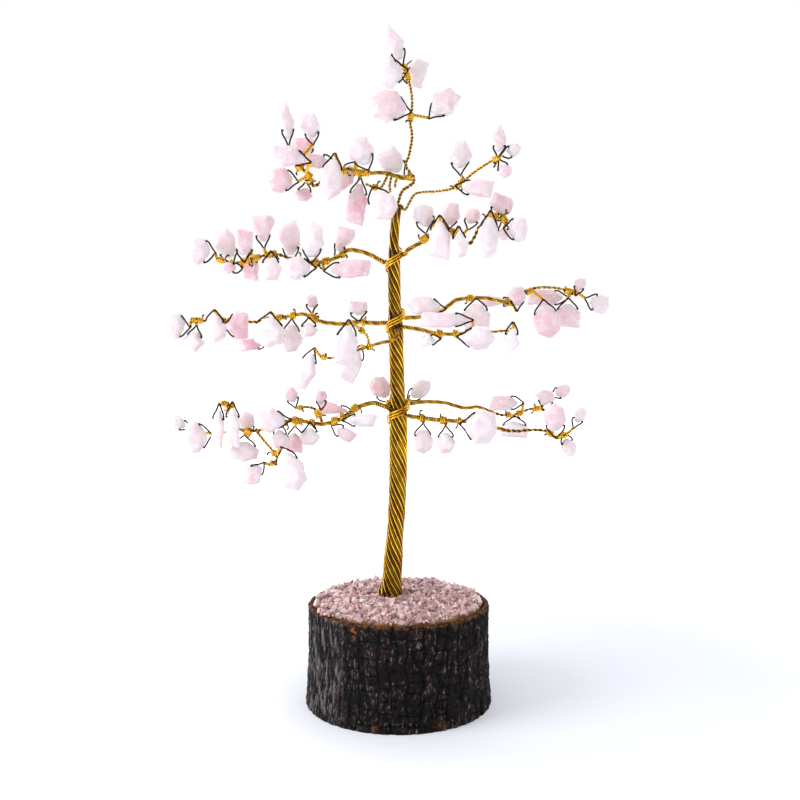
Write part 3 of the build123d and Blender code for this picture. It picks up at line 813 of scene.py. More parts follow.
class Weaver:
    """Geometry Nodes that lay twisted wires along routes and sweep them into solid wire."""

    def __init__(self) -> None:
        """Build the tree."""
        self.tree = new_group("weave_wires", "GeometryNodeTree",
                              {"Geometry": "Geometry", "Wire Radius": 0.0002, "Strands": 2, "Step": 0.00025,
                               "Sides": 7, "Wobble": 0.0, "Round Hub": False, "Contrast": 0.0,
                               "Material": "Material"}, {"Geometry": "Geometry"})
        pen = Pen(self.tree)
        given = pen.node("NodeGroupInput").outputs
        mesh = self.swept(pen, given, self.laid(pen, given))
        mesh = pen.flow("GeometryNodeSetMaterial", {"Geometry": mesh, "Material": given["Material"]})
        pen.node("NodeGroupOutput", {"Geometry": mesh})

    def laid(self, pen: Pen, given: bpy.types.NodeOutputs) -> Socket:
        """Nodes that lay a curve for each wire round the smoothed route.

        Args:
            pen: The tree's pen.
            given: The tree's inputs.

        Returns:
            The curves, with the route's middle as "spine" and each wire's "tone".
        """
        curve = pen.flow("GeometryNodeMeshToCurve", {"Mesh": given["Geometry"]})
        curve = pen.flow("GeometryNodeCurveSplineType", {"Curve": curve}, spline_type="CATMULL_ROM")
        curve = pen.flow("GeometryNodeResampleCurve", {"Curve": curve, "Length": given["Step"]}, mode="LENGTH")
        place = pen.flow("GeometryNodeInputPosition")
        spine = pen.flow("GeometryNodeSwitch", {"Switch": given["Round Hub"], "False": place,
                                                "True": pen.named("hub", "FLOAT_VECTOR")}, input_type="VECTOR")
        copies = pen.node("GeometryNodeDuplicateElements",
                          {"Geometry": pen.store(curve, "spine", spine, "FLOAT_VECTOR"),
                           "Amount": given["Strands"]}, domain="SPLINE")
        strand = pen.math("DIVIDE", copies.outputs["Duplicate Index"], given["Strands"])
        # Contrast raises the tone of later strands, which the brass paints darker as shade.
        tone = pen.math("ADD", pen.named("tone"), pen.math("MULTIPLY", strand, given["Contrast"]))
        angle = pen.math("ADD", pen.math("MULTIPLY", strand, 2 * math.pi), pen.named("turn"))
        normal = pen.flow("GeometryNodeInputNormal")
        across = pen.vector("CROSS_PRODUCT", pen.flow("GeometryNodeInputTangent"), normal)
        lay = pen.named("lay")
        near = pen.scaled(normal, pen.math("MULTIPLY", pen.math("COSINE", angle), lay))
        side = pen.scaled(across, pen.math("MULTIPLY", pen.math("SINE", angle), lay))
        cloud = pen.node("ShaderNodeTexNoise", {"Vector": place, "Scale": 160.0, "Detail": 2.0})
        drift = pen.scaled(pen.vector("SUBTRACT", cloud.outputs["Color"], HALF), given["Wobble"])
        return pen.flow("GeometryNodeSetPosition",
                        {"Geometry": pen.store(copies.outputs["Geometry"], "tone", tone),
                         "Offset": pen.vector("ADD", pen.vector("ADD", near, side), drift)})

    def swept(self, pen: Pen, given: bpy.types.NodeOutputs, curves: Socket) -> Socket:
        """Nodes that sweep the curves into solid wire.

        Args:
            pen: The tree's pen.
            given: The tree's inputs.
            curves: The laid curves.

        Returns:
            The mesh, which notes as "outward" how far out each point lies on its bundle.
        """
        radius = given["Wire Radius"]
        section = pen.flow("GeometryNodeCurvePrimitiveCircle", {"Resolution": given["Sides"], "Radius": radius})
        mesh = pen.flow("GeometryNodeCurveToMesh",
                        {"Curve": curves, "Profile Curve": section, "Fill Caps": True})
        gap = pen.vector("DISTANCE", pen.flow("GeometryNodeInputPosition"), pen.named("spine", "FLOAT_VECTOR"))
        over = pen.math("ADD", pen.math("SUBTRACT", gap, pen.named("reach")), radius)
        outward = pen.math("DIVIDE", over, pen.math("MULTIPLY", radius, 2.0))
        return pen.flow("GeometryNodeRealizeInstances", {"Geometry": pen.store(mesh, "outward", outward)})

    def weave(self, name: str, routes: list[Route], weave: Weave,
              material: bpy.types.Material) -> bpy.types.Object:
        """Lay wires along routes.

        Args:
            name: Name of the piece.
            routes: Where the wires run.
            weave: How they are laid.
            material: Their finish.

        Returns:
            The piece, as a plain mesh.
        """
        points = [point for route in routes for point in route.points]
        edges, first = [], 0
        for route in routes:
            edges += [(first + k, first + k + 1) for k in range(len(route.points) - 1)]
            first += len(route.points)
        mesh = bpy.data.meshes.new(f"{name}_route")
        mesh.from_pydata(points, edges, [])
        hubs = [hub for route in routes for hub in (route.hubs or route.points)]
        note(mesh, "hub", [value for hub in hubs for value in hub], "FLOAT_VECTOR")
        note(mesh, "lay", [lay for route in routes for lay in route.lay])
        note(mesh, "turn", [angle for route in routes for angle in route.turns()])
        note(mesh, "reach", [reach for route in routes for reach in route.reaches()])
        note(mesh, "tone", [tone for route in routes for tone in route.tones])
        values = {"Wire Radius": weave.wire_radius, "Strands": weave.strands, "Step": weave.step,
                  "Sides": weave.sides, "Wobble": weave.wobble, "Round Hub": weave.round_hub,
                  "Contrast": weave.contrast, "Material": material}
        piece = grown(name, mesh, self.tree, values)
        piece.data.shade_smooth()
        return piece


def heading(angle: float) -> Vector:
    """Level way of length 1 at an angle."""
    return Vector((math.cos(angle), math.sin(angle), 0))


def note(mesh: bpy.types.Mesh, name: str, values: object, kind: str = "FLOAT") -> None:
    """Write a point attribute.

    Args:
        mesh: The mesh.
        name: Name of the attribute.
        values: Its values in a row.
        kind: Its data type.
    """
    layer = mesh.attributes.new(name, kind, "POINT")
    layer.data.foreach_set("vector" if kind == "FLOAT_VECTOR" else "value", values)


def grown(name: str, mesh: bpy.types.Mesh, tree: bpy.types.NodeTree, values: dict) -> bpy.types.Object:
    """Run a Geometry Nodes tree on a mesh and keep the plain result.

    Args:
        name: Name of the piece.
        mesh: The mesh to start from.
        tree: The tree.
        values: Values by input name.

    Returns:
        The piece.
    """
    seed = placed(f"{name}_seed", mesh)
    modifier = seed.modifiers.new("grow", "NODES")
    modifier.node_group = tree
    for socket in tree.interface.items_tree:
        if socket.item_type == "SOCKET" and socket.in_out == "INPUT" and socket.name in values:
            modifier[socket.identifier] = values[socket.name]
    made = evaluated(seed)
    bpy.data.objects.remove(seed)
    bpy.data.meshes.remove(mesh)
    return new_piece(name, made)


def evaluated(item: bpy.types.Object) -> bpy.types.Mesh:
    """New plain mesh of an object with its modifiers applied."""
    graph = bpy.context.evaluated_depsgraph_get()
    return bpy.data.meshes.new_from_object(item.evaluated_get(graph))


def placed(name: str, data: bpy.types.ID) -> bpy.types.Object:
    """Put a mesh, a lamp or a camera in the scene.

    Args:
        name: Name of the object.
        data: What it shows.

    Returns:
        The object.
    """
    item = bpy.data.objects.new(name, data)
    bpy.context.scene.collection.objects.link(item)
    return item


def new_piece(name: str, mesh: bpy.types.Mesh) -> bpy.types.Object:
    """Piece of a given name in the scene, whose mesh has that name too."""
    mesh.name = name
    return placed(name, mesh)


def dress_node(node: str, material: bpy.types.Material) -> None:
    """Give a CAD node that stays in view its finish.

    Args:
        node: Name of the node.
        material: The finish.
    """
    materials = frame["nodes"][node].data.materials
    materials.clear()
    materials.append(material)


def plain_mesh(shape: bmesh.types.BMesh, name: str) -> bpy.types.Mesh:
    """Write a shape into a new mesh and free it.

    Args:
        shape: The shape.
        name: Name of the mesh.

    Returns:
        The mesh.
    """
    mesh = bpy.data.meshes.new(name)
    shape.to_mesh(mesh)
    shape.free()
    return mesh


def seat(piece: bpy.types.Object, body: str, slot: Slot, *nodes: str) -> None:
    """Say what a finished piece rides on and which nodes it stands for.

    Args:
        piece: The piece.
        body: The body that carries it.
        slot: Its material slot; not used.
        nodes: CAD nodes that it replaces.
    """
    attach(piece, body)
    if nodes:
        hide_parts(*nodes)
    log.info("%s: %d faces on %s", piece.name, len(piece.data.polygons), body)


@dataclass
class Trunk:
    """The laid trunk: a pair of wires along every strand, sweeps into the twigs, collars and inner wires.

    The wires lie a little fuller than the strands that they stand for: fullness gives how many millimetres
    they are moved out at each height, and lay_pitch how tightly they turn above the lower tier. The leg is
    the one side where the wires splay at the foot. The lines and heights at the end are read from the CAD
    when the trunk is built.
    """

    reader: Reader
    weaver: Weaver
    palette: Palette
    draws: random.Random
    wire_radius: float = 0.000245
    wire_wobble: float = 0.00008
    wire_step: float = 0.0005
    pair_gap: float = 0.000225
    strand_pitch: float = 0.030
    lay_pitch: float = 0.021
    tuck: float = 0.0007
    tuck_wobble: float = 0.00006
    inner_wires: int = 16
    inner_radius: float = 0.00030
    inner_step: float = 0.0008
    inner_drop: float = 0.00062
    inner_shade: float = 0.00020
    leg_way: float = 188.0
    leg_reach: float = 0.0007
    leg_height: float = 0.0055
    leg_narrow: int = 6
    root_reach: float = 0.006
    sweep_turn: float = 0.5
    over_gap: float = 0.00022
    straight_share: float = 0.6
    strand_sides: int = 5
    core_sides: int = 6
    fullness: tuple = ((0.026, 0.80), (0.031, 0.80), (0.036, 0.62), (0.0405, 0.80), (0.0465, 0.35),
                       (0.058, 0.45), (0.074, 0.52), (0.082, 0.55), (0.095, 0.48), (0.105, 0.50),
                       (0.116, 0.42), (0.124, 0.42), (0.130, 0.30), (0.140, 0.16))
    # The second wire of each pair takes most of the brass's dark second colour: painted shade that parts the
    # strands.
    tones: dict = field(default_factory=lambda: {-1: (0.0, 0.25), 1: (0.8, 1.0)})
    axis: Line = field(init=False)
    leading: Line = field(init=False)
    hand: float = field(init=False)
    tier_height: float = field(init=False)
    foot_height: float = field(init=False)

    def build(self) -> None:
        """Lay the strands of each tier, the collars and the inner wires."""
        self.axis = self.reader.lines("trunk_core", self.core_sides)[0].rising()
        self.leading = self.reader.lines("trunk_strands_crown", self.strand_sides)[0].rising()
        first, second = (point - self.hub(point.z) for point in self.leading.points[1:3])
        self.hand = math.copysign(1.0, first.cross(second).z)
        self.tier_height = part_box("collar_lower")[1][2]
        self.foot_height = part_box("glue_bed")[1][2]
        for tier in Tier:
            self.build_strands(tier)
        collar = Weave(self.wire_radius, wobble=self.tuck_wobble)
        for tier in list(Tier)[:-1]:
            lines = self.reader.lines(f"collar_{tier.value}", self.strand_sides)
            routes = [Route(self.tucked(line)) for line in lines]
            self.lay(f"wrapped_wires_{tier.value}", routes, collar, f"collar_{tier.value}")
        self.build_inner()

    def lay(self, name: str, routes: list[Route], weave: Weave, node: str) -> None:
        """Lay a piece of brass wires and seat it on the stand.

        Args:
            name: Name of the piece.
            routes: Where the wires run.
            weave: How they are laid.
            node: The CAD node that it stands for.
        """
        piece = self.weaver.weave(name, routes, weave, self.palette[Slot.BRASS])
        seat(piece, "stand", Slot.BRASS, node)

    def hub(self, height: float) -> Vector:
        """Middle of the trunk at a height.

        Args:
            height: The height in metres.

        Returns:
            The point.
        """
        points = self.axis.points
        for low, high in zip(points, points[1:]):
            if height <= high.z:
                share = max(0.0, (height - low.z) / (high.z - low.z))
                return low.lerp(high, share)
        return Vector((points[-1].x, points[-1].y, height))

    def fuller(self, point: Vector, turned: bool = False) -> Vector:
        """Move a point of a wire out from the trunk's middle, to where the full trunk has it.

        Args:
            point: A point on the strand's or the collar's line.
            turned: Whether the point turns with the tighter lay above the lower tier.

        Returns:
            The moved point.
        """
        hub = self.hub(point.z)
        arm = point - hub
        heights, extras = zip(*self.fullness)
        extra = float(numpy.interp(point.z, heights, extras)) * MILLI
        if turned:
            above = max(0.0, point.z - self.tier_height)
            turn = 2 * math.pi * above * (1 / self.lay_pitch - 1 / self.strand_pitch) * self.hand
            arm = Matrix.Rotation(turn, 3, "Z") @ arm
            way = math.atan2(arm.y, arm.x) - math.radians(self.leg_way)
            low = min(1.0, max(0.0, 1 - (point.z - self.foot_height) / self.leg_height))
            extra += self.leg_reach * max(0.0, math.cos(way)) ** self.leg_narrow * low * low
        return hub + arm * (1 + extra / max(arm.length, self.wire_radius))

    def build_inner(self) -> None:
        """Lay the inner wires close under the outer ones, with painted shade from their added reach."""
        points = self.leading.points
        hubs = [self.hub(point.z) for point in points]
        lays = [max(self.wire_radius, (self.fuller(point) - hub).length - self.inner_drop)
                for point, hub in zip(points, hubs)]
        route = Route(hubs, lays, pitch=self.strand_pitch * self.hand, shade_sink=self.inner_shade)
        weave = Weave(self.inner_radius, self.inner_wires, self.inner_step)
        self.lay("inner_wires", [route], weave, "trunk_core")

    def tucked(self, line: Line) -> list[Vector]:
        """Points of a collar's wire on the full trunk, with its ends pushed in among the trunk's wires.

        Args:
            line: The collar's line.

        Returns:
            The points.
        """
        points = [self.fuller(point) for point in line.points]
        for end in (0, -1):
            inward = self.hub(points[end].z) - points[end]
            points[end] = points[end] + inward.normalized() * self.tuck
        return points

    def build_strands(self, tier: Tier) -> None:
        """Lay a pair of wires along each strand that leaves at a tier, and on to its twig.

        Args:
            tier: The tier.
        """
        name = f"trunk_strands_{tier.value}"
        roots = [Vector(joint["pos_m"]) for joint in frame["record"]["behaviour"]["joints"]
                 if joint["parent"] == "stand"]
        routes = []
        for number, line in enumerate(self.reader.lines(name, self.strand_sides)):
            line = line.rising()
            hubs = [self.hub(point.z) for point in line.points]
            for hand in (-1, 1):
                points = self.beside(line, hubs, hand)
                near = [root for root in roots if abs(root.z - points[-1].z) < self.root_reach] or roots
                sweep = self.sweep(points[-1], near[(2 * number + (hand > 0)) % len(near)])
                routes.append(Route(points + sweep, hubs=hubs + [self.hub(point.z) for point in sweep],
                                    tone=self.draws.uniform(*self.tones[hand])))
        weave = Weave(self.wire_radius, wobble=self.wire_wobble, step=self.wire_step, round_hub=True)
        self.lay(f"laid_wires_{tier.value}", routes, weave, name)

    def beside(self, line: Line, hubs: list[Vector], hand: int) -> list[Vector]:
        """Points of one wire of the pair that stands for a strand.

        Args:
            line: The strand's line.
            hubs: Middle of the trunk at each of its points.
            hand: Side of the strand, -1 or 1.

        Returns:
            The points.
        """
        points = []
        for k, (point, hub) in enumerate(zip(line.points, hubs)):
            ahead = line.points[min(k + 1, len(hubs) - 1)] - line.points[max(k - 1, 0)]
            side = ahead.cross((point - hub).normalized()).normalized()
            points.append(self.fuller(point + side * self.pair_gap * hand, turned=True))
        return points

    def sweep(self, start: Vector, root: Vector) -> list[Vector]:
        """Points of a wire that leaves the trunk, round its outside to a twig's root.

        Args:
            start: Last point of the wire in the trunk.
            root: Point where the twig starts.

        Returns:
            The points after the start.
        """
        from_hub = start - self.hub(start.z)
        to_hub = root - self.hub(root.z)
        if to_hub.xy.length < self.wire_radius:
            return [start.lerp(root, self.straight_share), root]
        first = math.atan2(from_hub.y, from_hub.x)
        last = math.atan2(to_hub.y, to_hub.x)
        turn = (last - first + math.pi) % (2 * math.pi) - math.pi
        low = from_hub.xy.length
        high = max(low + self.over_gap * 2, to_hub.xy.length - self.over_gap)
        steps = max(3, int(abs(turn) / self.sweep_turn) + 2)
        points = []
        for k in range(1, steps + 1):
            share = k / steps
            angle = first + turn * share
            radius = low + (high - low) * math.sin(share * math.pi / 2)
            height = start.z + (root.z - start.z) * share
            points.append(self.hub(height) + radius * heading(angle))
        return points + [root]


@dataclass
class Twig:
    """A twig that bends at its root: its bundle of wires, the loops and the chips."""

    name: str
    root: Vector
    reader: Reader
    weaver: Weaver
    palette: Palette
    draws: random.Random
    wire_radius: float = 0.0002
    wire_wobble: float = 0.00016
    loop_radius: float = 0.00024
    loop_step: float = 0.0002
    sides: int = 5
    pair_pitch: float = 0.0019
    bore_radius: float = 0.00034
    bore_sides: int = 12
    run_in: float = 0.0003
    join_reach: float = 0.0030
    # Darkens the second wire of each pair towards the brass's dark second colour: painted shade.
    contrast: float = 0.9
    sink: float = 0.9
    pitch_growth: float = 0.55
    slant_pitch: float = 1.6
    pair_room: float = 2.3
    tip_share: float = 0.6
    stem_tones: tuple[float, float] = (0, 0.25)
    core_from: float = 1.3
    core_share: float = 0.8
    core_pitch: float = 0.7
    stalk_turn: float = 0.0015
    stalk_steps: int = 6
    stalk_gap: float = 1.05
    knot_steps: int = 8
    knot_pitch: float = 2.1
    knot_turns: tuple[float, float] = (2.2, 4.2)
    knot_slack: float = 0.00022
    hook_length: tuple[float, float] = (0.0008, 0.0019)
    hook_shares: tuple[float, float, float] = (0.4, 0.35, 0.25)
    leg_shares: tuple[float, float] = (0.3, 0.68)
    leg_early_bow: float = 0.7
    leg_bow: float = 0.4 * MILLI
    leg_lift: float = 0.35 * MILLI
    mouth_round: float = 0.25
    mouth_dip: float = 0.02
    bore_shares: tuple[float, ...] = (0.04, 0.25, 0.75, 0.96)
    bore_excess: float = 2 * MILLI
    broken_corners: int = 6
    corner_cut: tuple[float, float] = (0.9, 0.985)
    grain: float = 0.0003
    tumbling: int = 2
    hollow_scale: float = 420
    hollow_depth: float = 0.00028
    facet_scale: float = 520
    facet_reach: float = 0.5
    facet_level: float = 0.3
    facet_depth: float = 0.00035
    tints: tuple[float, float] = (0.05, 1.0)
    tint_paleness: float = 2.4
    apart: float = 0.25
    stems: list[Line] = field(init=False)
    loops: list[Line] = field(init=False)

    def build(self) -> None:
        """Build the three pieces of the twig."""
        self.stems = [self.from_root(line) for line in self.reader.lines(f"{self.name}_stem", self.sides)]
        self.loops = [self.from_stem(line) for line in self.reader.lines(f"{self.name}_loops", self.sides)]
        self.build_stem()
        self.build_loops()
        self.build_chips()

    def from_root(self, line: Line) -> Line:
        """The line, starting at its end nearest the twig's root."""
        near = (line.points[0] - self.root).length < (line.points[-1] - self.root).length
        return line if near else line.turned()

    def from_stem(self, line: Line) -> Line:
        """The loop, starting at its end nearest the stems."""
        first, last = (self.nearest(end, self.stems).gap for end in (line.points[0], line.points[-1]))
        return line if first < last else line.turned()

    def nearest(self, point: Vector, stems: list[Line]) -> Near:
        """Nearest place of some stems to a point."""
        return min((stem.nearest(point) for stem in stems), key=lambda near: near.gap)

    def build_stem(self) -> None:
        """Lay pairs of wires round each stem, all of them near the trunk and one at the tip."""
        routes = []
        for number, line in enumerate(self.stems):
            points = list(line.points)
            lays = [max(self.wire_radius, radius - self.wire_radius * self.sink) for radius in line.radii]
            lays[0] = lays[1]
            if number == 0:
                points[0] = points[0] + (points[0] - points[1]).normalized() * self.run_in
            else:
                near = self.nearest(points[0], self.stems[:number])
                if self.wire_radius < near.gap < self.join_reach:
                    points.insert(0, near.spot)
                    lays.insert(0, lays[0])
            routes += self.bundle(points, lays)
        weave = Weave(self.wire_radius, strands=2, wobble=self.wire_wobble, contrast=self.contrast)
        piece = self.weaver.weave(f"{self.name}_twisted_wires", routes, weave, self.palette[Slot.BRASS])
        seat(piece, self.name, Slot.BRASS, f"{self.name}_stem")

    def bundle(self, points: list[Vector], lays: list[float]) -> list[Route]:
        """Routes of the pairs round one stem, and of a pair inside them where there is room.

        Args:
            points: The stem's middle line, from its root.
            lays: How far out the pairs lie at each point.

        Returns:
            The routes, shorter from pair to pair.
        """
        phase = self.draws.uniform(0, 6)
        pairs = self.pairs_round(lays[1])
        pitch = self.pair_pitch * (1 + (pairs - 1) * self.pitch_growth)
        routes = []
        for pair in range(pairs):
            count = max(3, math.ceil(len(points) * (1 - pair / (pairs + self.tip_share))))
            routes.append(Route(points[:count], lays[:count], phase + math.pi * pair / pairs, pitch,
                                tone=self.draws.uniform(*self.stem_tones)))
        if lays[1] > self.wire_radius * self.core_from:
            count = max(3, math.ceil(len(points) * self.core_share))
            core = [lay - self.wire_radius * self.sink for lay in lays[:count]]
            # The inner wire gets painted shade from added reach.
            routes.append(Route(points[:count], core, phase, pitch * self.core_pitch,
                                shade_sink=2 * self.wire_radius))
        return routes

    def pairs_round(self, lay: float) -> int:
        """Number of pairs of wires that fit round a bundle with a gap between them."""
        slant = math.cos(math.atan(2 * math.pi * lay / (self.pair_pitch * self.slant_pitch)))
        return max(1, min(3, int(math.pi * lay * slant / (self.wire_radius * self.pair_room))))

    def build_loops(self) -> None:
        """Run one wire up each stalk, through the chip's bore and back down."""
        routes = [self.hairpin(line) for line in self.loops]
        weave = Weave(self.loop_radius, step=self.loop_step, round_hub=True)
        piece = self.weaver.weave(f"{self.name}_wire_loops", routes, weave, self.palette[Slot.LOOP])
        seat(piece, self.name, Slot.LOOP, f"{self.name}_loops")

    def hairpin(self, line: Line) -> Route:
        """Line of one loop's wire: knot, stalk, leg, bore, leg and stalk, twisted with itself in the stalk.

        Args:
            line: Centre line of the CAD loop, from the stem.

        Returns:
            The route of the wire, golden in the knot and the stalk and dark from there on.
        """
        fork_in, mouth, exit_mouth = line.points[-4:-1]
        bore = (exit_mouth - mouth).normalized()
        fork = fork_in + bore * self.loop_radius
        foot = self.nearest(line.points[0], self.stems).spot
        stalk = fork - foot
        turns = max(1, round(stalk.length / self.stalk_turn))
        steps = turns * self.stalk_steps
        side = stalk.cross(bore).normalized()
        other = side.cross(stalk).normalized()
        middles = [foot + stalk * (k / steps) for k in range(steps + 1)]
        up, down = [], []
        for k, middle in enumerate(middles):
            angle = 2 * math.pi * turns * (k / steps - 1)
            arm = (other * math.cos(angle) + side * math.sin(angle)) * self.loop_radius * self.stalk_gap
            up.append(middle - arm)
            down.append(middle + arm)
        leg_in = self.leg(fork, mouth, -bore, side)
        leg_out = self.leg(fork, exit_mouth, bore, side)
        if (mouth - up[-1]).length > (mouth - down[-1]).length:
            up, down = down, up
        knot, axis = self.knot(foot, stalk)
        up = knot + up
        span = exit_mouth - mouth
        run = [mouth.lerp(leg_in[-1], self.mouth_round) + span * self.mouth_dip]
        run += [mouth + span * share for share in self.bore_shares]
        run += [exit_mouth.lerp(leg_out[-1], self.mouth_round) - span * self.mouth_dip]
        loop = leg_in + run + leg_out[::-1]
        tones = [0.0, 0.0, 0.3] + [1.0] * (len(up) - 5) + [0.3, 0.0] + [0.0] * len(loop)
        return Route(up + loop + down[::-1], hubs=axis + middles + loop + middles[::-1],
                     tones=tones + [0.0, 0.3] + [1.0] * (len(down) - 2))

    def leg(self, fork: Vector, mouth: Vector, out: Vector, side: Vector) -> list[Vector]:
        """Points of one leg of a loop, bowed outward on its way from the fork to the bore.

        Args:
            fork: Point where the legs part.
            mouth: Mouth of the bore on the leg's side.
            out: Way outward along the bore.
            side: Way across the fork's plane.

        Returns:
            The points between the fork and the mouth.
        """
        bow = self.draws.uniform(0.0, self.leg_bow)
        lift = self.draws.uniform(-self.leg_lift, self.leg_lift)
        early, late = self.leg_shares
        return [fork.lerp(mouth, early) + out * bow * self.leg_early_bow + side * lift,
                fork.lerp(mouth, late) + out * bow + side * lift]

    def knot(self, foot: Vector, stalk: Vector) -> tuple[list[Vector], list[Vector]]:
        """Points of the turns that tie a loop's wire to its stem, and of the stem's middle beside them.

        Args:
            foot: Point on the stem's middle line.
            stalk: Way that the loop leaves it.

        Returns:
            The points, from the clipped and hooked end, and the middle that each turns round.
        """
        near = self.nearest(foot, self.stems)
        way, reach = near.way, near.radius + self.loop_radius
        side = (stalk - way * stalk.dot(way)).normalized()
        other = way.cross(side)
        turns = self.draws.uniform(*self.knot_turns)
        steps = round(turns * self.knot_steps)
        points, axis = [], []
        for k in range(steps):
            left = 1 - k / steps
            angle = 2 * math.pi * turns * left
            arm = side * math.cos(angle) + other * math.sin(angle)
            loose = self.draws.uniform(0, self.knot_slack) * min(1.0, left * 3)
            middle = foot - way * left * turns * self.loop_radius * self.knot_pitch
            points.append(middle + arm * (reach + loose))
            axis.append(middle)
        out = points[0] - foot
        out = (out - way * out.dot(way)).normalized()
        length = self.draws.uniform(*self.hook_length)
        bend = way * self.draws.choice((-1, 1))
        rise, turn, tip = self.hook_shares
        hook = [points[0] + out * length * rise]
        hook.insert(0, hook[0] + (out + bend * 0.5).normalized() * length * turn)
        hook.insert(0, hook[0] + (out * 0.2 + bend).normalized() * length * tip)
        return hook + points, hook + axis

    def build_chips(self) -> None:
        """Make the chips' stones and drill them."""
        name = f"{self.name}_chips"
        rough = bmesh.new()
        for number, (points, _) in enumerate(self.reader.solids(name)):
            self.add_rough(rough, points, number)
        item = placed(f"{name}_rough", plain_mesh(rough, name))
        even_out = item.modifiers.new("even", "REMESH")
        even_out.mode = "VOXEL"
        even_out.voxel_size = self.grain
        item.modifiers.new("tumble", "SMOOTH").iterations = self.tumbling
        even = evaluated(item)
        bpy.data.objects.remove(item)
        for vert in even.vertices:
            vert.co.y -= round(vert.co.y / self.apart) * self.apart
        self.weather(even)
        item, cutter = placed(f"{name}_solid", even), placed("bores", self.bores())
        drill = item.modifiers.new("drill", "BOOLEAN")
        drill.object = cutter
        drill.operation = "DIFFERENCE"
        drill.solver = "MANIFOLD"
        piece = new_piece(f"{self.name}_quartz", evaluated(item))
        bpy.data.objects.remove(item)
        bpy.data.objects.remove(cutter)
        self.tint(piece.data)
        piece.data.materials.clear()
        piece.data.materials.append(self.palette[Slot.QUARTZ])
        piece.data.shade_smooth()
        seat(piece, self.name, Slot.QUARTZ, name)

    def add_rough(self, rough: bmesh.types.BMesh, points: list[Vector], number: int) -> None:
        """Add one chip's rough body: the CAD form with broken corners.

        Args:
            rough: The mesh to add to.
            points: Corners of the CAD chip.
            number: How many spaces behind its place the body is put, so that the remesh keeps it apart.
        """
        chip = bmesh.new()
        for point in points:
            chip.verts.new(point)
        made = bmesh.ops.convex_hull(chip, input=chip.verts)
        loose = {item for item in made["geom_interior"] + made["geom_unused"]
                 if isinstance(item, bmesh.types.BMVert)}
        bmesh.ops.delete(chip, geom=list(loose), context="VERTS")
        middle = sum((vert.co for vert in chip.verts), Vector()) / len(chip.verts)
        for _ in range(self.broken_corners):
            way = Vector([self.draws.gauss(0, 1) for _ in range(3)]).normalized()
            far = max((vert.co - middle).dot(way) for vert in chip.verts)
            cut = bmesh.ops.bisect_plane(chip, geom=chip.verts[:] + chip.edges[:] + chip.faces[:],
                                         plane_co=middle + way * far * self.draws.uniform(*self.corner_cut),
                                         plane_no=way, clear_outer=True)
            rim = [item for item in cut["geom_cut"] if isinstance(item, bmesh.types.BMEdge)]
            bmesh.ops.contextual_create(chip, geom=rim)
        bmesh.ops.recalc_face_normals(chip, faces=chip.faces)
        bmesh.ops.translate(chip, verts=chip.verts, vec=(0, number * self.apart, 0))
        copy = plain_mesh(chip, "chip")
        rough.from_mesh(copy)
        bpy.data.meshes.remove(copy)

    def weather(self, mesh: bpy.types.Mesh) -> None:
        """Give the stones hollows and small chipped facets.

        Args:
            mesh: The even mesh of the twig's stones.
        """
        moved = []
        for vert in mesh.vertices:
            hollow = noise.noise(vert.co * self.hollow_scale) * self.hollow_depth
            near = min(noise.voronoi(vert.co * self.facet_scale)[0][0], self.facet_reach)
            facet = (near - self.facet_level) * self.facet_depth
            moved += list(vert.co + vert.normal * (hollow - abs(facet)))
        mesh.vertices.foreach_set("co", moved)
        mesh.update()

    def bores(self) -> bpy.types.Mesh:
        """Cutters for the drilled holes.

        Returns:
            A mesh with a rod along each loop's run through its chip.
        """
        bores = bmesh.new()
        for line in self.loops:
            mouth, exit_mouth = line.points[-3:-1]
            run = exit_mouth - mouth
            turn = run.to_track_quat("Z", "Y").to_matrix().to_4x4()
            bmesh.ops.create_cone(bores, cap_ends=True, segments=self.bore_sides, radius1=self.bore_radius,
                                  radius2=self.bore_radius, depth=run.length + self.bore_excess,
                                  matrix=Matrix.Translation((mouth + exit_mouth) / 2) @ turn)
        return plain_mesh(bores, "bores")

    def tint(self, mesh: bpy.types.Mesh) -> None:
        """Give each stone its own depth of pink.

        Args:
            mesh: The drilled stones.
        """
        stones = bmesh.new()
        stones.from_mesh(mesh)
        layer = stones.verts.layers.float.new("tint")
        for stone in islands(stones):
            depth = self.draws.uniform(*self.tints) ** self.tint_paleness
            for vert in stone:
                vert[layer] = depth
        stones.to_mesh(mesh)
        stones.free()


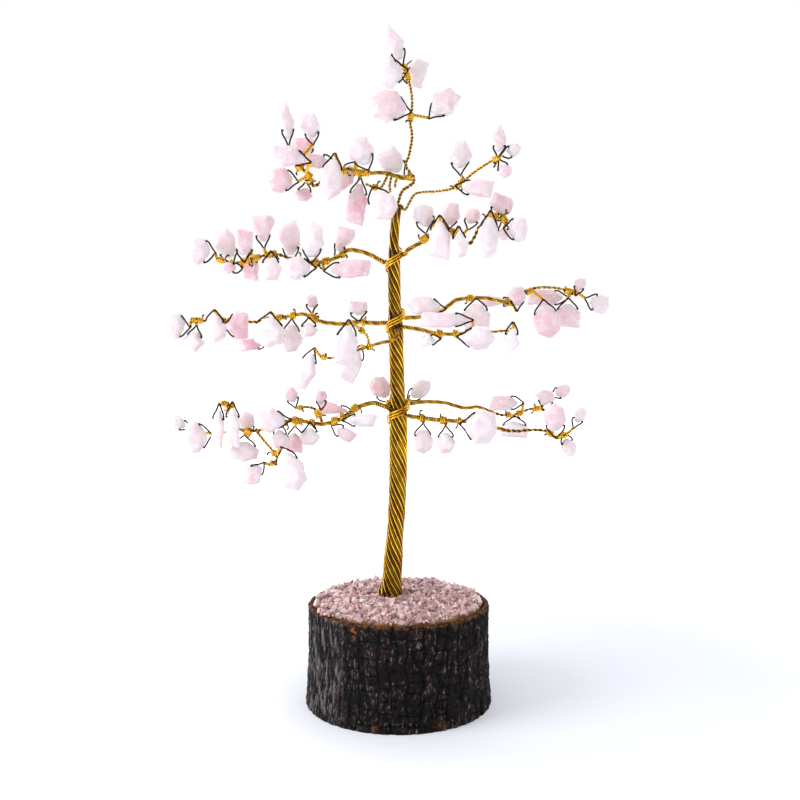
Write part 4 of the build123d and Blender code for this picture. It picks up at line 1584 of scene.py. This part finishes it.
@dataclass
class LogSlice:
    """The slice of log: ridged bark round a sawn core."""

    palette: Palette
    columns: int = 660
    rows: int = 142
    blocks_round: int = 38
    block_height: float = 0.0042
    block_spread: tuple[float, float] = (0.6, 1.6)
    block_jitter: float = 0.32
    crack_bend: float = 0.5
    cross_bend: float = 0.35
    crack_least: float = 0.35
    cross_share: float = 0.8
    fine_depth: float = 0.00075
    furrow_depth: float = 0.00095
    furrow_fill: float = 0.45
    crack_width: float = 0.00022
    swell: float = 0.00022
    # The side towards the key lamp, with fewer cross cracks, and grey streaks that are partly the bark's own
    # and partly painted light.
    smooth_side: float = -165.0
    smooth_cosine: float = 0.72
    smooth_blend: float = 0.12
    craze_width: float = 0.055
    foot_share: float = 0.07
    foot_fill: float = 0.00025
    edge_round: float = 0.0003
    rim_share: float = 0.025
    sill_share: float = 0.02
    rim_drop: float = 0.0004
    rim_band: float = 0.0011
    inset: float = 0.00002
    noise_scales: tuple[float, ...] = (190, 1100, 1500, 520)
    relief_start: float = 0.66
    relief_cracks: float = 0.62
    relief_grain: float = 0.24
    relief_fine: float = 0.22
    relief_ground: float = 0.22
    relief_crazing: float = 0.42
    plain_relief: float = 0.45
    worn_fray: float = 0.35
    worn_reach: float = 1.3
    rim_wear: tuple[float, float, float] = (0.35, 0.45, 0.6)
    worn_spots: tuple = ((-118, 0.0268, 0.0012, 0.9), (-118, 0.0252, 0.0009, 0.7), (-104, 0.0012, 0.0010, 0.45),
                         (-66, 0.0024, 0.0013, 0.35), (-62, 0.0012, 0.0010, 0.3), (-72, 0.0150, 0.0006, 0.4),
                         (60, 0.002, 0.002, 0.5), (150, 0.027, 0.002, 0.7))
    low_z: float = field(init=False)
    high_z: float = field(init=False)
    foot_radius: float = field(init=False)
    inner_radius: float = field(init=False)

    def build(self) -> None:
        """Build the bark and dress the sawn core."""
        low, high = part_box("log_bark")
        self.low_z, self.high_z = low[2], high[2]
        self.foot_radius = min(high[0], high[1], -low[0], -low[1])
        self.inner_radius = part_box("log_wood")[1][0]
        piece = new_piece("ridged_bark", self.bark_mesh())
        piece.data.materials.append(self.palette[Slot.BARK])
        piece.data.shade_smooth()
        seat(piece, "stand", Slot.BARK, "log_bark")
        dress_node("log_wood", self.palette[Slot.WOOD])

    def outline(self, angle: Grid, height: Grid) -> Grid:
        """Radius of the CAD bark's outer face.

        Args:
            angle: Angles round the log.
            height: Heights in metres.

        Returns:
            Radii in metres.
        """
        mesh = bmesh.new()
        mesh.from_mesh(frame["nodes"]["log_bark"].data)
        tree = BVHTree.FromBMesh(mesh)
        found = numpy.zeros(angle.shape)
        for place in numpy.ndindex(angle.shape):
            way = heading(angle[place])
            level = min(max(height[place], self.low_z + self.inset), self.high_z - self.inset)
            start = way * 2 * self.foot_radius + Vector((0, 0, level))
            found[place] = tree.ray_cast(start, -way)[0].xy.length
        mesh.free()
        return found

    def cracks(self, angle: Grid, height: Grid, bend: Grid, smooth: Grid) -> Grid:
        """Upright cracks round the log and staggered cross cracks between them.

        Args:
            angle: Angles round the log.
            height: Heights in metres.
            bend: Slow noise that bends the cracks.
            smooth: Share of the smooth side, where cross cracks are missing.

        Returns:
            How deep in a crack each place lies, from 0 to 1.
        """
        draws = numpy.random.default_rng(7)
        count = self.blocks_round
        jitter = draws.uniform(-self.block_jitter, self.block_jitter, count)
        tall = draws.uniform(*self.block_spread, count) * self.block_height
        shift = draws.uniform(0, 1, count)
        spacing = 2 * math.pi * self.foot_radius / count
        place = angle / (2 * math.pi) * count + self.crack_bend * bend
        cell = numpy.floor(place).astype(int)
        edge_low = cell + jitter[cell % count]
        edge_high = cell + 1 + jitter[(cell + 1) % count]
        upright = numpy.minimum(numpy.abs(place - edge_low), numpy.abs(edge_high - place)) * spacing
        own = numpy.where(place < edge_low, cell - 1, numpy.where(place > edge_high, cell + 1, cell)) % count
        level = height / tall[own] + shift[own] + self.cross_bend * bend
        across = numpy.abs(level - numpy.round(level)) * tall[own]
        strong = self.crack_least + (1 - self.crack_least) * draws.uniform(0, 1, count)[own]
        upright_depth = strong * numpy.exp(-(upright / self.crack_width) ** 2)
        cross_depth = self.cross_share * strong * (1 - smooth) * numpy.exp(-(across / self.crack_width) ** 2)
        return numpy.maximum(upright_depth * (1 - 0.45 * smooth), cross_depth)

    def bark_mesh(self) -> bpy.types.Mesh:
        """Ring of bark with cracked plates outside, a ragged top edge and a plain inner wall.

        Returns:
            The mesh.
        """
        share, angle = numpy.meshgrid(numpy.linspace(0, 1, self.rows),
                                      numpy.arange(self.columns) * 2 * math.pi / self.columns, indexing="ij")
        height = self.low_z + (self.high_z - self.low_z) * share
        bend, grain, fine, crazing = self.wander(angle, height)
        base = self.outline(angle, height)
        turned = numpy.cos(angle - math.radians(self.smooth_side))
        smooth = numpy.clip((turned - self.smooth_cosine) / self.smooth_blend, 0, 1)
        cracks = self.cracks(angle, height, bend, smooth)
        plate = base.max(axis=1, keepdims=True)
        ground = numpy.clip(1 - (plate - base) / self.furrow_depth, 0, 1)
        base = base + (plate - base) * self.furrow_fill
        relief = self.relief_start - self.relief_cracks * cracks
        relief = relief + (self.relief_grain + 0.18 * smooth) * grain + self.relief_fine * fine
        relief = relief - self.relief_ground * (1 - ground) ** 2
        relief -= self.relief_crazing * numpy.exp(-(crazing / self.craze_width) ** 2) * (1 - 0.7 * smooth)
        relief = numpy.clip(relief, 0, 1)
        foot = numpy.clip((self.foot_share - share) / self.foot_share, 0, 1)
        base = base + (plate - self.foot_fill - base) * foot * (base < plate - self.foot_fill)
        radius = base + self.swell * share - self.fine_depth * (1 - relief) * (1 - 0.6 * foot)
        edge = numpy.clip((share - (1 - self.rim_share)) / self.rim_share, 0, 1)
        sill = numpy.clip((self.sill_share - share) / self.sill_share, 0, 1)
        radius -= self.edge_round * (edge ** 2 + sill ** 2)
        level = height - self.rim_drop * (0.5 + 0.5 * fine[-1]) * edge
        outer = numpy.stack([radius * numpy.cos(angle), radius * numpy.sin(angle), level], -1)
        mesh = self.ring_mesh(numpy.concatenate([outer, self.inner_wall(angle[0], outer)]))
        plain = numpy.full((4, self.columns), self.plain_relief)
        # Low relief is painted near-black in the bark as shade.
        note(mesh, "relief", numpy.concatenate([relief, plain]).ravel())
        note(mesh, "worn", numpy.concatenate([self.worn(angle, height, fine), plain]).ravel())
        # Mask of the grey side towards the key lamp, whose grey is partly painted light.
        note(mesh, "silver", numpy.concatenate([smooth, plain * 0]).ravel())
        return mesh

    def inner_wall(self, angle: Grid, outer: Grid) -> Grid:
        """Rings that close the bark over its top, down its inner wall and under its foot.

        Args:
            angle: Angles round the log.
            outer: The outer face's rings, from the foot up.

        Returns:
            The four rings.
        """
        rings = []
        for z, edge, push in ((self.high_z, outer[-1], 0.5), (self.high_z, outer[-1], 0.0),
                              (self.low_z, outer[0], 0.0), (self.low_z, outer[0], 0.5)):
            wall = numpy.stack([self.inner_radius * numpy.cos(angle), self.inner_radius * numpy.sin(angle),
                                numpy.full(self.columns, z)], -1)
            rings.append(wall * (1 - push) + edge * push)
        return numpy.stack(rings)

    def ring_mesh(self, grid: Grid) -> bpy.types.Mesh:
        """Mesh of rings joined in turn, the last one to the first.

        Args:
            grid: Points by ring and column.

        Returns:
            The mesh.
        """
        numbers = numpy.arange(grid.shape[0] * self.columns).reshape(-1, self.columns)
        ahead, above = numpy.roll(numbers, -1, 1), numpy.roll(numbers, -1, 0)
        faces = numpy.stack([numbers, ahead, numpy.roll(above, -1, 1), above], -1)
        mesh = bpy.data.meshes.new("ridged_bark")
        mesh.from_pydata(grid.reshape(-1, 3).tolist(), [], faces.reshape(-1, 4).tolist())
        return mesh

    def wander(self, angle: Grid, height: Grid) -> Grid:
        """Slow noise that bends the cracks, upright grain, fine noise for the blocks' faces, and crazing.

        Args:
            angle: Angles round the log.
            height: Heights in metres.

        Returns:
            The four noises, each from -1 to 1.
        """
        slow, upright, close, cells = self.noise_scales
        found = numpy.zeros((4,) + angle.shape)
        for place in numpy.ndindex(angle.shape):
            spot, level = heading(angle[place]) * self.foot_radius, Vector((0, 0, height[place]))
            found[(slice(None), *place)] = (noise.noise((spot + level) * slow),
                                            noise.fractal((spot + level * 0.16) * upright, 0.8, 2.0, 3),
                                            noise.fractal((spot + level * 0.6) * close, 0.7, 2.1, 3),
                                            noise.noise((spot + level * 0.8) * cells + Vector((7, 3, 1))))
        return found

    def worn(self, angle: Grid, height: Grid, fine: Grid) -> Grid:
        """Mask of the places where the bark is rubbed through.

        Args:
            angle: Angles round the log.
            height: Heights in metres.
            fine: Noise that frays the edges.

        Returns:
            The mask from 0 to 1.
        """
        mask = numpy.zeros(angle.shape)
        for turn, level, size, strength in self.worn_spots:
            gap = (angle - math.radians(turn) + math.pi) % (2 * math.pi) - math.pi
            reach = numpy.hypot(gap * self.foot_radius, height - level) / size
            spot = numpy.clip(self.worn_reach - reach + self.worn_fray * fine, 0, 1)
            mask = numpy.maximum(mask, strength * spot)
        rim = numpy.clip((height - self.high_z + self.rim_band) / self.rim_band, 0, 1)
        plain, fray, most = self.rim_wear
        return numpy.maximum(mask, rim * numpy.clip(plain + fray * fine, 0, most))


@dataclass
class GravelBed:
    """Crushed stone scattered on the glue, dense up to the rim."""

    palette: Palette
    reader: Reader
    crown: float = 0.0014
    grain_gap: float = 0.00085
    small: float = 0.00042
    large: float = 0.0015
    over_rim: float = 0.0016
    forms: int = 7
    density: float = 9e6
    rings: int = 16
    spokes: int = 72
    inner_share: float = 0.09
    spill_way: float = -148.0
    spill: float = 0.0016
    spill_narrow: int = 24
    ragged: float = 0.0005
    bump_scale: float = 300
    bumps: float = 0.0003
    lifts: tuple[float, float] = (-0.0002, 0.0005)
    squashes: tuple = ((0.7, 0.6, 0.5), (1.3, 1.0, 0.9))
    tumbles: tuple = ((0.0, 0.0, 0.0), (6.28, 6.28, 6.28))
    breakage: float = 0.75
    fineness: float = 2.6
    radius: float = field(init=False)
    top: float = field(init=False)

    def build(self) -> None:
        """Scatter the grains and dress the glue under them."""
        low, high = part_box("glue_bed")
        self.radius = (high[0] - low[0]) / 2
        self.top = high[2] - self.crown
        values = {"Grain Gap": self.grain_gap, "Small": self.small, "Large": self.large,
                  "Material": self.palette[Slot.GRAVEL]}
        piece = grown("crushed_stone", self.surface(), self.tree(), values)
        seat(piece, "stand", Slot.GRAVEL, "gravel_stones")
        for node in ("glue_bed", "glue_plug"):
            dress_node(node, self.palette[Slot.GLUE])

    def surface(self) -> bpy.types.Mesh:
        """Domed disc that the grains lie on, with a ragged edge and a spill at the front left.

        Returns:
            The mesh.
        """
        low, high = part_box("glue_plug")
        trunk_x = (low[0] + high[0]) / 2
        spill_way = heading(math.radians(self.spill_way))
        mesh = bmesh.new()
        rows = []
        for ring in range(self.rings + 1):
            share = self.inner_share + (1 - self.inner_share) * ring / self.rings
            row = []
            for spoke in range(self.spokes):
                way = heading(2 * math.pi * spoke / self.spokes)
                outer = (self.radius + self.over_rim + self.ragged * noise.noise(way * 3 + Vector((0, 0, 0.5)))
                         + self.spill * max(0.0, way.dot(spill_way)) ** self.spill_narrow)
                spot = way * outer * share + Vector((trunk_x * (1 - share), 0, 0))
                across = min(1.0, spot.length / self.radius)
                bump = self.bumps * noise.noise(spot * self.bump_scale)
                height = self.top + self.crown * (1 - across ** 2) + bump
                row.append(mesh.verts.new((spot.x, spot.y, height)))
            rows.append(row)
        for low_row, high_row in zip(rows, rows[1:]):
            for s in range(self.spokes):
                t = (s + 1) % self.spokes
                mesh.faces.new((low_row[s], high_row[s], high_row[t], low_row[t]))
        return plain_mesh(mesh, "bed")

    def tree(self) -> bpy.types.NodeTree:
        """Geometry Nodes that scatter grains of a few broken forms.

        Returns:
            The tree.
        """
        tree = new_group("scatter_grains", "GeometryNodeTree",
                         {"Geometry": "Geometry", "Grain Gap": 0.0006, "Small": 0.0004, "Large": 0.0008,
                          "Material": "Material"}, {"Geometry": "Geometry"})
        pen = Pen(tree)
        given = pen.node("NodeGroupInput").outputs
        points = pen.flow("GeometryNodeDistributePointsOnFaces",
                          {"Mesh": given["Geometry"], "Distance Min": given["Grain Gap"],
                           "Density Max": self.density, "Seed": 11}, distribute_method="POISSON")
        lift = pen.draw(*((0.0, 0.0, height) for height in self.lifts), 13, "FLOAT_VECTOR")
        forms = pen.node("GeometryNodeJoinGeometry")
        for number in range(self.forms):
            ball = pen.flow("GeometryNodeMeshIcoSphere", {"Radius": 1.0, "Subdivisions": 1})
            broken = pen.node("ShaderNodeTexWhiteNoise",
                              {"Vector": pen.flow("GeometryNodeInputPosition"), "W": float(number)},
                              noise_dimensions="4D").outputs["Color"]
            shift = pen.scaled(pen.vector("SUBTRACT", broken, HALF), self.breakage)
            ball = pen.flow("GeometryNodeSetPosition", {"Geometry": ball, "Offset": shift})
            pen.dress(forms, {0: pen.flow("GeometryNodeGeometryToInstance", {"Geometry": ball})})
        spread = pen.math("SUBTRACT", given["Large"], given["Small"])
        size = pen.math("MULTIPLY", pen.math("POWER", pen.draw(0.0, 1.0, 3), self.fineness), spread)
        squash = pen.draw(*self.squashes, 5, "FLOAT_VECTOR")
        grains = pen.flow("GeometryNodeInstanceOnPoints",
                          {"Points": pen.flow("GeometryNodeSetPosition", {"Geometry": points, "Offset": lift}),
                           "Instance": forms.outputs[0], "Pick Instance": True,
                           "Instance Index": pen.draw(0, self.forms - 1, 9, "INT"),
                           "Rotation": pen.draw(*self.tumbles, 7, "FLOAT_VECTOR"),
                           "Scale": pen.scaled(squash, pen.math("ADD", size, given["Small"]))})
        grains = pen.store(grains, "shade", pen.draw(0.0, 1.0, 17), domain="INSTANCE")
        grains = pen.flow("GeometryNodeRealizeInstances", {"Geometry": grains})
        grains = pen.flow("GeometryNodeSetMaterial", {"Geometry": grains, "Material": given["Material"]})
        pen.node("NodeGroupOutput", {"Geometry": grains})
        return tree


@dataclass(frozen=True)
class Lamp:
    """A soft square lamp: its name, where it hangs, its side, its power in watts and its colour."""

    name: str
    place: tuple[float, float, float]
    size: float
    power: float
    colour: tuple[float, float, float]
    aim: tuple[float, float, float] = (0.0, 0.0, 0.09)

    def build(self) -> None:
        """Hang the lamp so that it points at the tree."""
        light = bpy.data.lights.new(self.name, "AREA")
        light.size = self.size
        light.energy = self.power
        light.color = self.colour
        item = placed(self.name, light)
        item.location = self.place
        beam = Vector(self.aim) - Vector(self.place)
        item.rotation_euler = beam.to_track_quat("-Z", "Y").to_euler()


@dataclass
class Studio:
    """Pale floor, soft lamps and the camera."""

    eye: tuple[float, float, float] = (0.0004, -0.300, 0.1124)
    tilt: float = 85.07
    lens: float = 48.15
    clip_start: float = 0.01
    floor_size: float = 6.0
    # The floor's added white glow falls to floor_glow round shade_middle, beside the log where its shadow lies,
    # so that the rendered shadow shows and is deepened there: a painted pool of shade, which the floor's bluish
    # colour tints.
    floor_glow: float = 0.13
    floor_colour: Colour = (0.83, 0.855, 0.94, 1)
    shade_middle: tuple[float, float, float] = (0.045, 0.02, 0.0)
    clear_from: float = 0.055
    clear_to: float = 0.22
    room_low: float = -0.5
    room_high: float = 0.35
    room_front: float = 0.04
    room_light: float = 0.78
    lamps: tuple[Lamp, ...] = (Lamp("key", (-0.50, -0.20, 0.34), 0.34, 2.05, (1.0, 0.985, 0.96)),
                               Lamp("fill", (0.45, -0.45, 0.35), 0.6, 0.3, (0.95, 0.97, 1.0)),
                               Lamp("back", (0.1, 0.5, 0.45), 0.5, 0.5, (1.0, 1.0, 1.0)))

    def build(self) -> None:
        """Build the floor, the world, the lamps and the camera."""
        self.build_floor()
        self.build_world()
        for lamp in self.lamps:
            lamp.build()
        view = bpy.data.cameras.new("camera")
        view.lens = self.lens
        view.clip_start = self.clip_start
        camera = placed("camera", view)
        camera.location = self.eye
        camera.rotation_euler = (math.radians(self.tilt), 0, 0)
        bpy.context.scene.camera = camera
        bpy.context.scene.view_settings.view_transform = "Standard"

    def build_floor(self) -> None:
        """Build the floor: white to the eye far off, with its glow lowered round the object's soft shadow, a
        painted pool of shade that lets the shadow show.
        """
        half = self.floor_size / 2
        mesh = bpy.data.meshes.new("floor")
        mesh.from_pydata([(-half, -half, 0), (half, -half, 0), (half, half, 0), (-half, half, 0)], [],
                         [(0, 1, 2, 3)])
        material = bpy.data.materials.new("white_floor")
        pen = blank(material)
        rays = pen.node("ShaderNodeLightPath").outputs
        seen = pen.math("MAXIMUM", rays["Is Camera Ray"], rays["Is Glossy Ray"])
        seen = pen.math("MAXIMUM", seen, rays["Is Transmission Ray"])
        aside = pen.vector("SUBTRACT", pen.node("ShaderNodeTexCoord").outputs["Object"], self.shade_middle)
        # Glow lowest round the shadow's middle: painted shade.
        far = pen.ramp(pen.vector("LENGTH", aside), self.clear_from, self.clear_to)
        glow = pen.math("MULTIPLY", seen, pen.scale_add(far, 1.0 - self.floor_glow, self.floor_glow))
        matt = pen.flow("ShaderNodeBsdfDiffuse", {"Color": self.floor_colour})
        white = pen.flow("ShaderNodeEmission", {"Color": (1, 1, 1, 1), "Strength": glow})
        pen.node("ShaderNodeOutputMaterial", {"Surface": pen.flow("ShaderNodeAddShader", {0: matt, 1: white})})
        mesh.materials.append(material)
        placed("floor", mesh)

    def build_world(self) -> None:
        """Build a world that looks white, lights softly and is dark in front for what mirrors it."""
        world = bpy.data.worlds.new("studio")
        pen = blank(world)
        rays = pen.node("ShaderNodeLightPath").outputs
        way = pen.node("ShaderNodeTexCoord").outputs["Generated"]
        depth = pen.node("ShaderNodeSeparateXYZ", {0: way}).outputs["Y"]
        room = pen.scale_add(pen.ramp(depth, self.room_low, self.room_high), 1.0 - self.room_front,
                             self.room_front)
        mirrored = pen.math("MULTIPLY", rays["Is Glossy Ray"], room)
        open_view = pen.math("MAXIMUM", rays["Is Camera Ray"], rays["Is Transmission Ray"])
        other = pen.math("SUBTRACT", 1.0, pen.math("MAXIMUM", rays["Is Glossy Ray"], open_view))
        strength = pen.math("ADD", pen.math("ADD", mirrored, open_view),
                            pen.math("MULTIPLY", other, self.room_light))
        sky = pen.flow("ShaderNodeBackground", {"Color": (1, 1, 1, 1), "Strength": strength})
        pen.node("ShaderNodeOutputWorld", {"Surface": sky})
        bpy.context.scene.world = world


def main() -> None:
    """Build the tree piece by piece."""
    logging.basicConfig(level=logging.INFO, format="%(message)s")
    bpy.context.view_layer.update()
    palette = Palette()
    reader = Reader()
    weaver = Weaver()
    Studio().build()
    LogSlice(palette).build()
    GravelBed(palette, reader).build()
    Trunk(reader, weaver, palette, random.Random(5)).build()
    for number, joint in enumerate(frame["record"]["behaviour"]["joints"]):
        draws = random.Random(number + 21)
        Twig(joint["child"], Vector(joint["pos_m"]), reader, weaver, palette, draws).build()


if __name__ == "__main__":
    main()
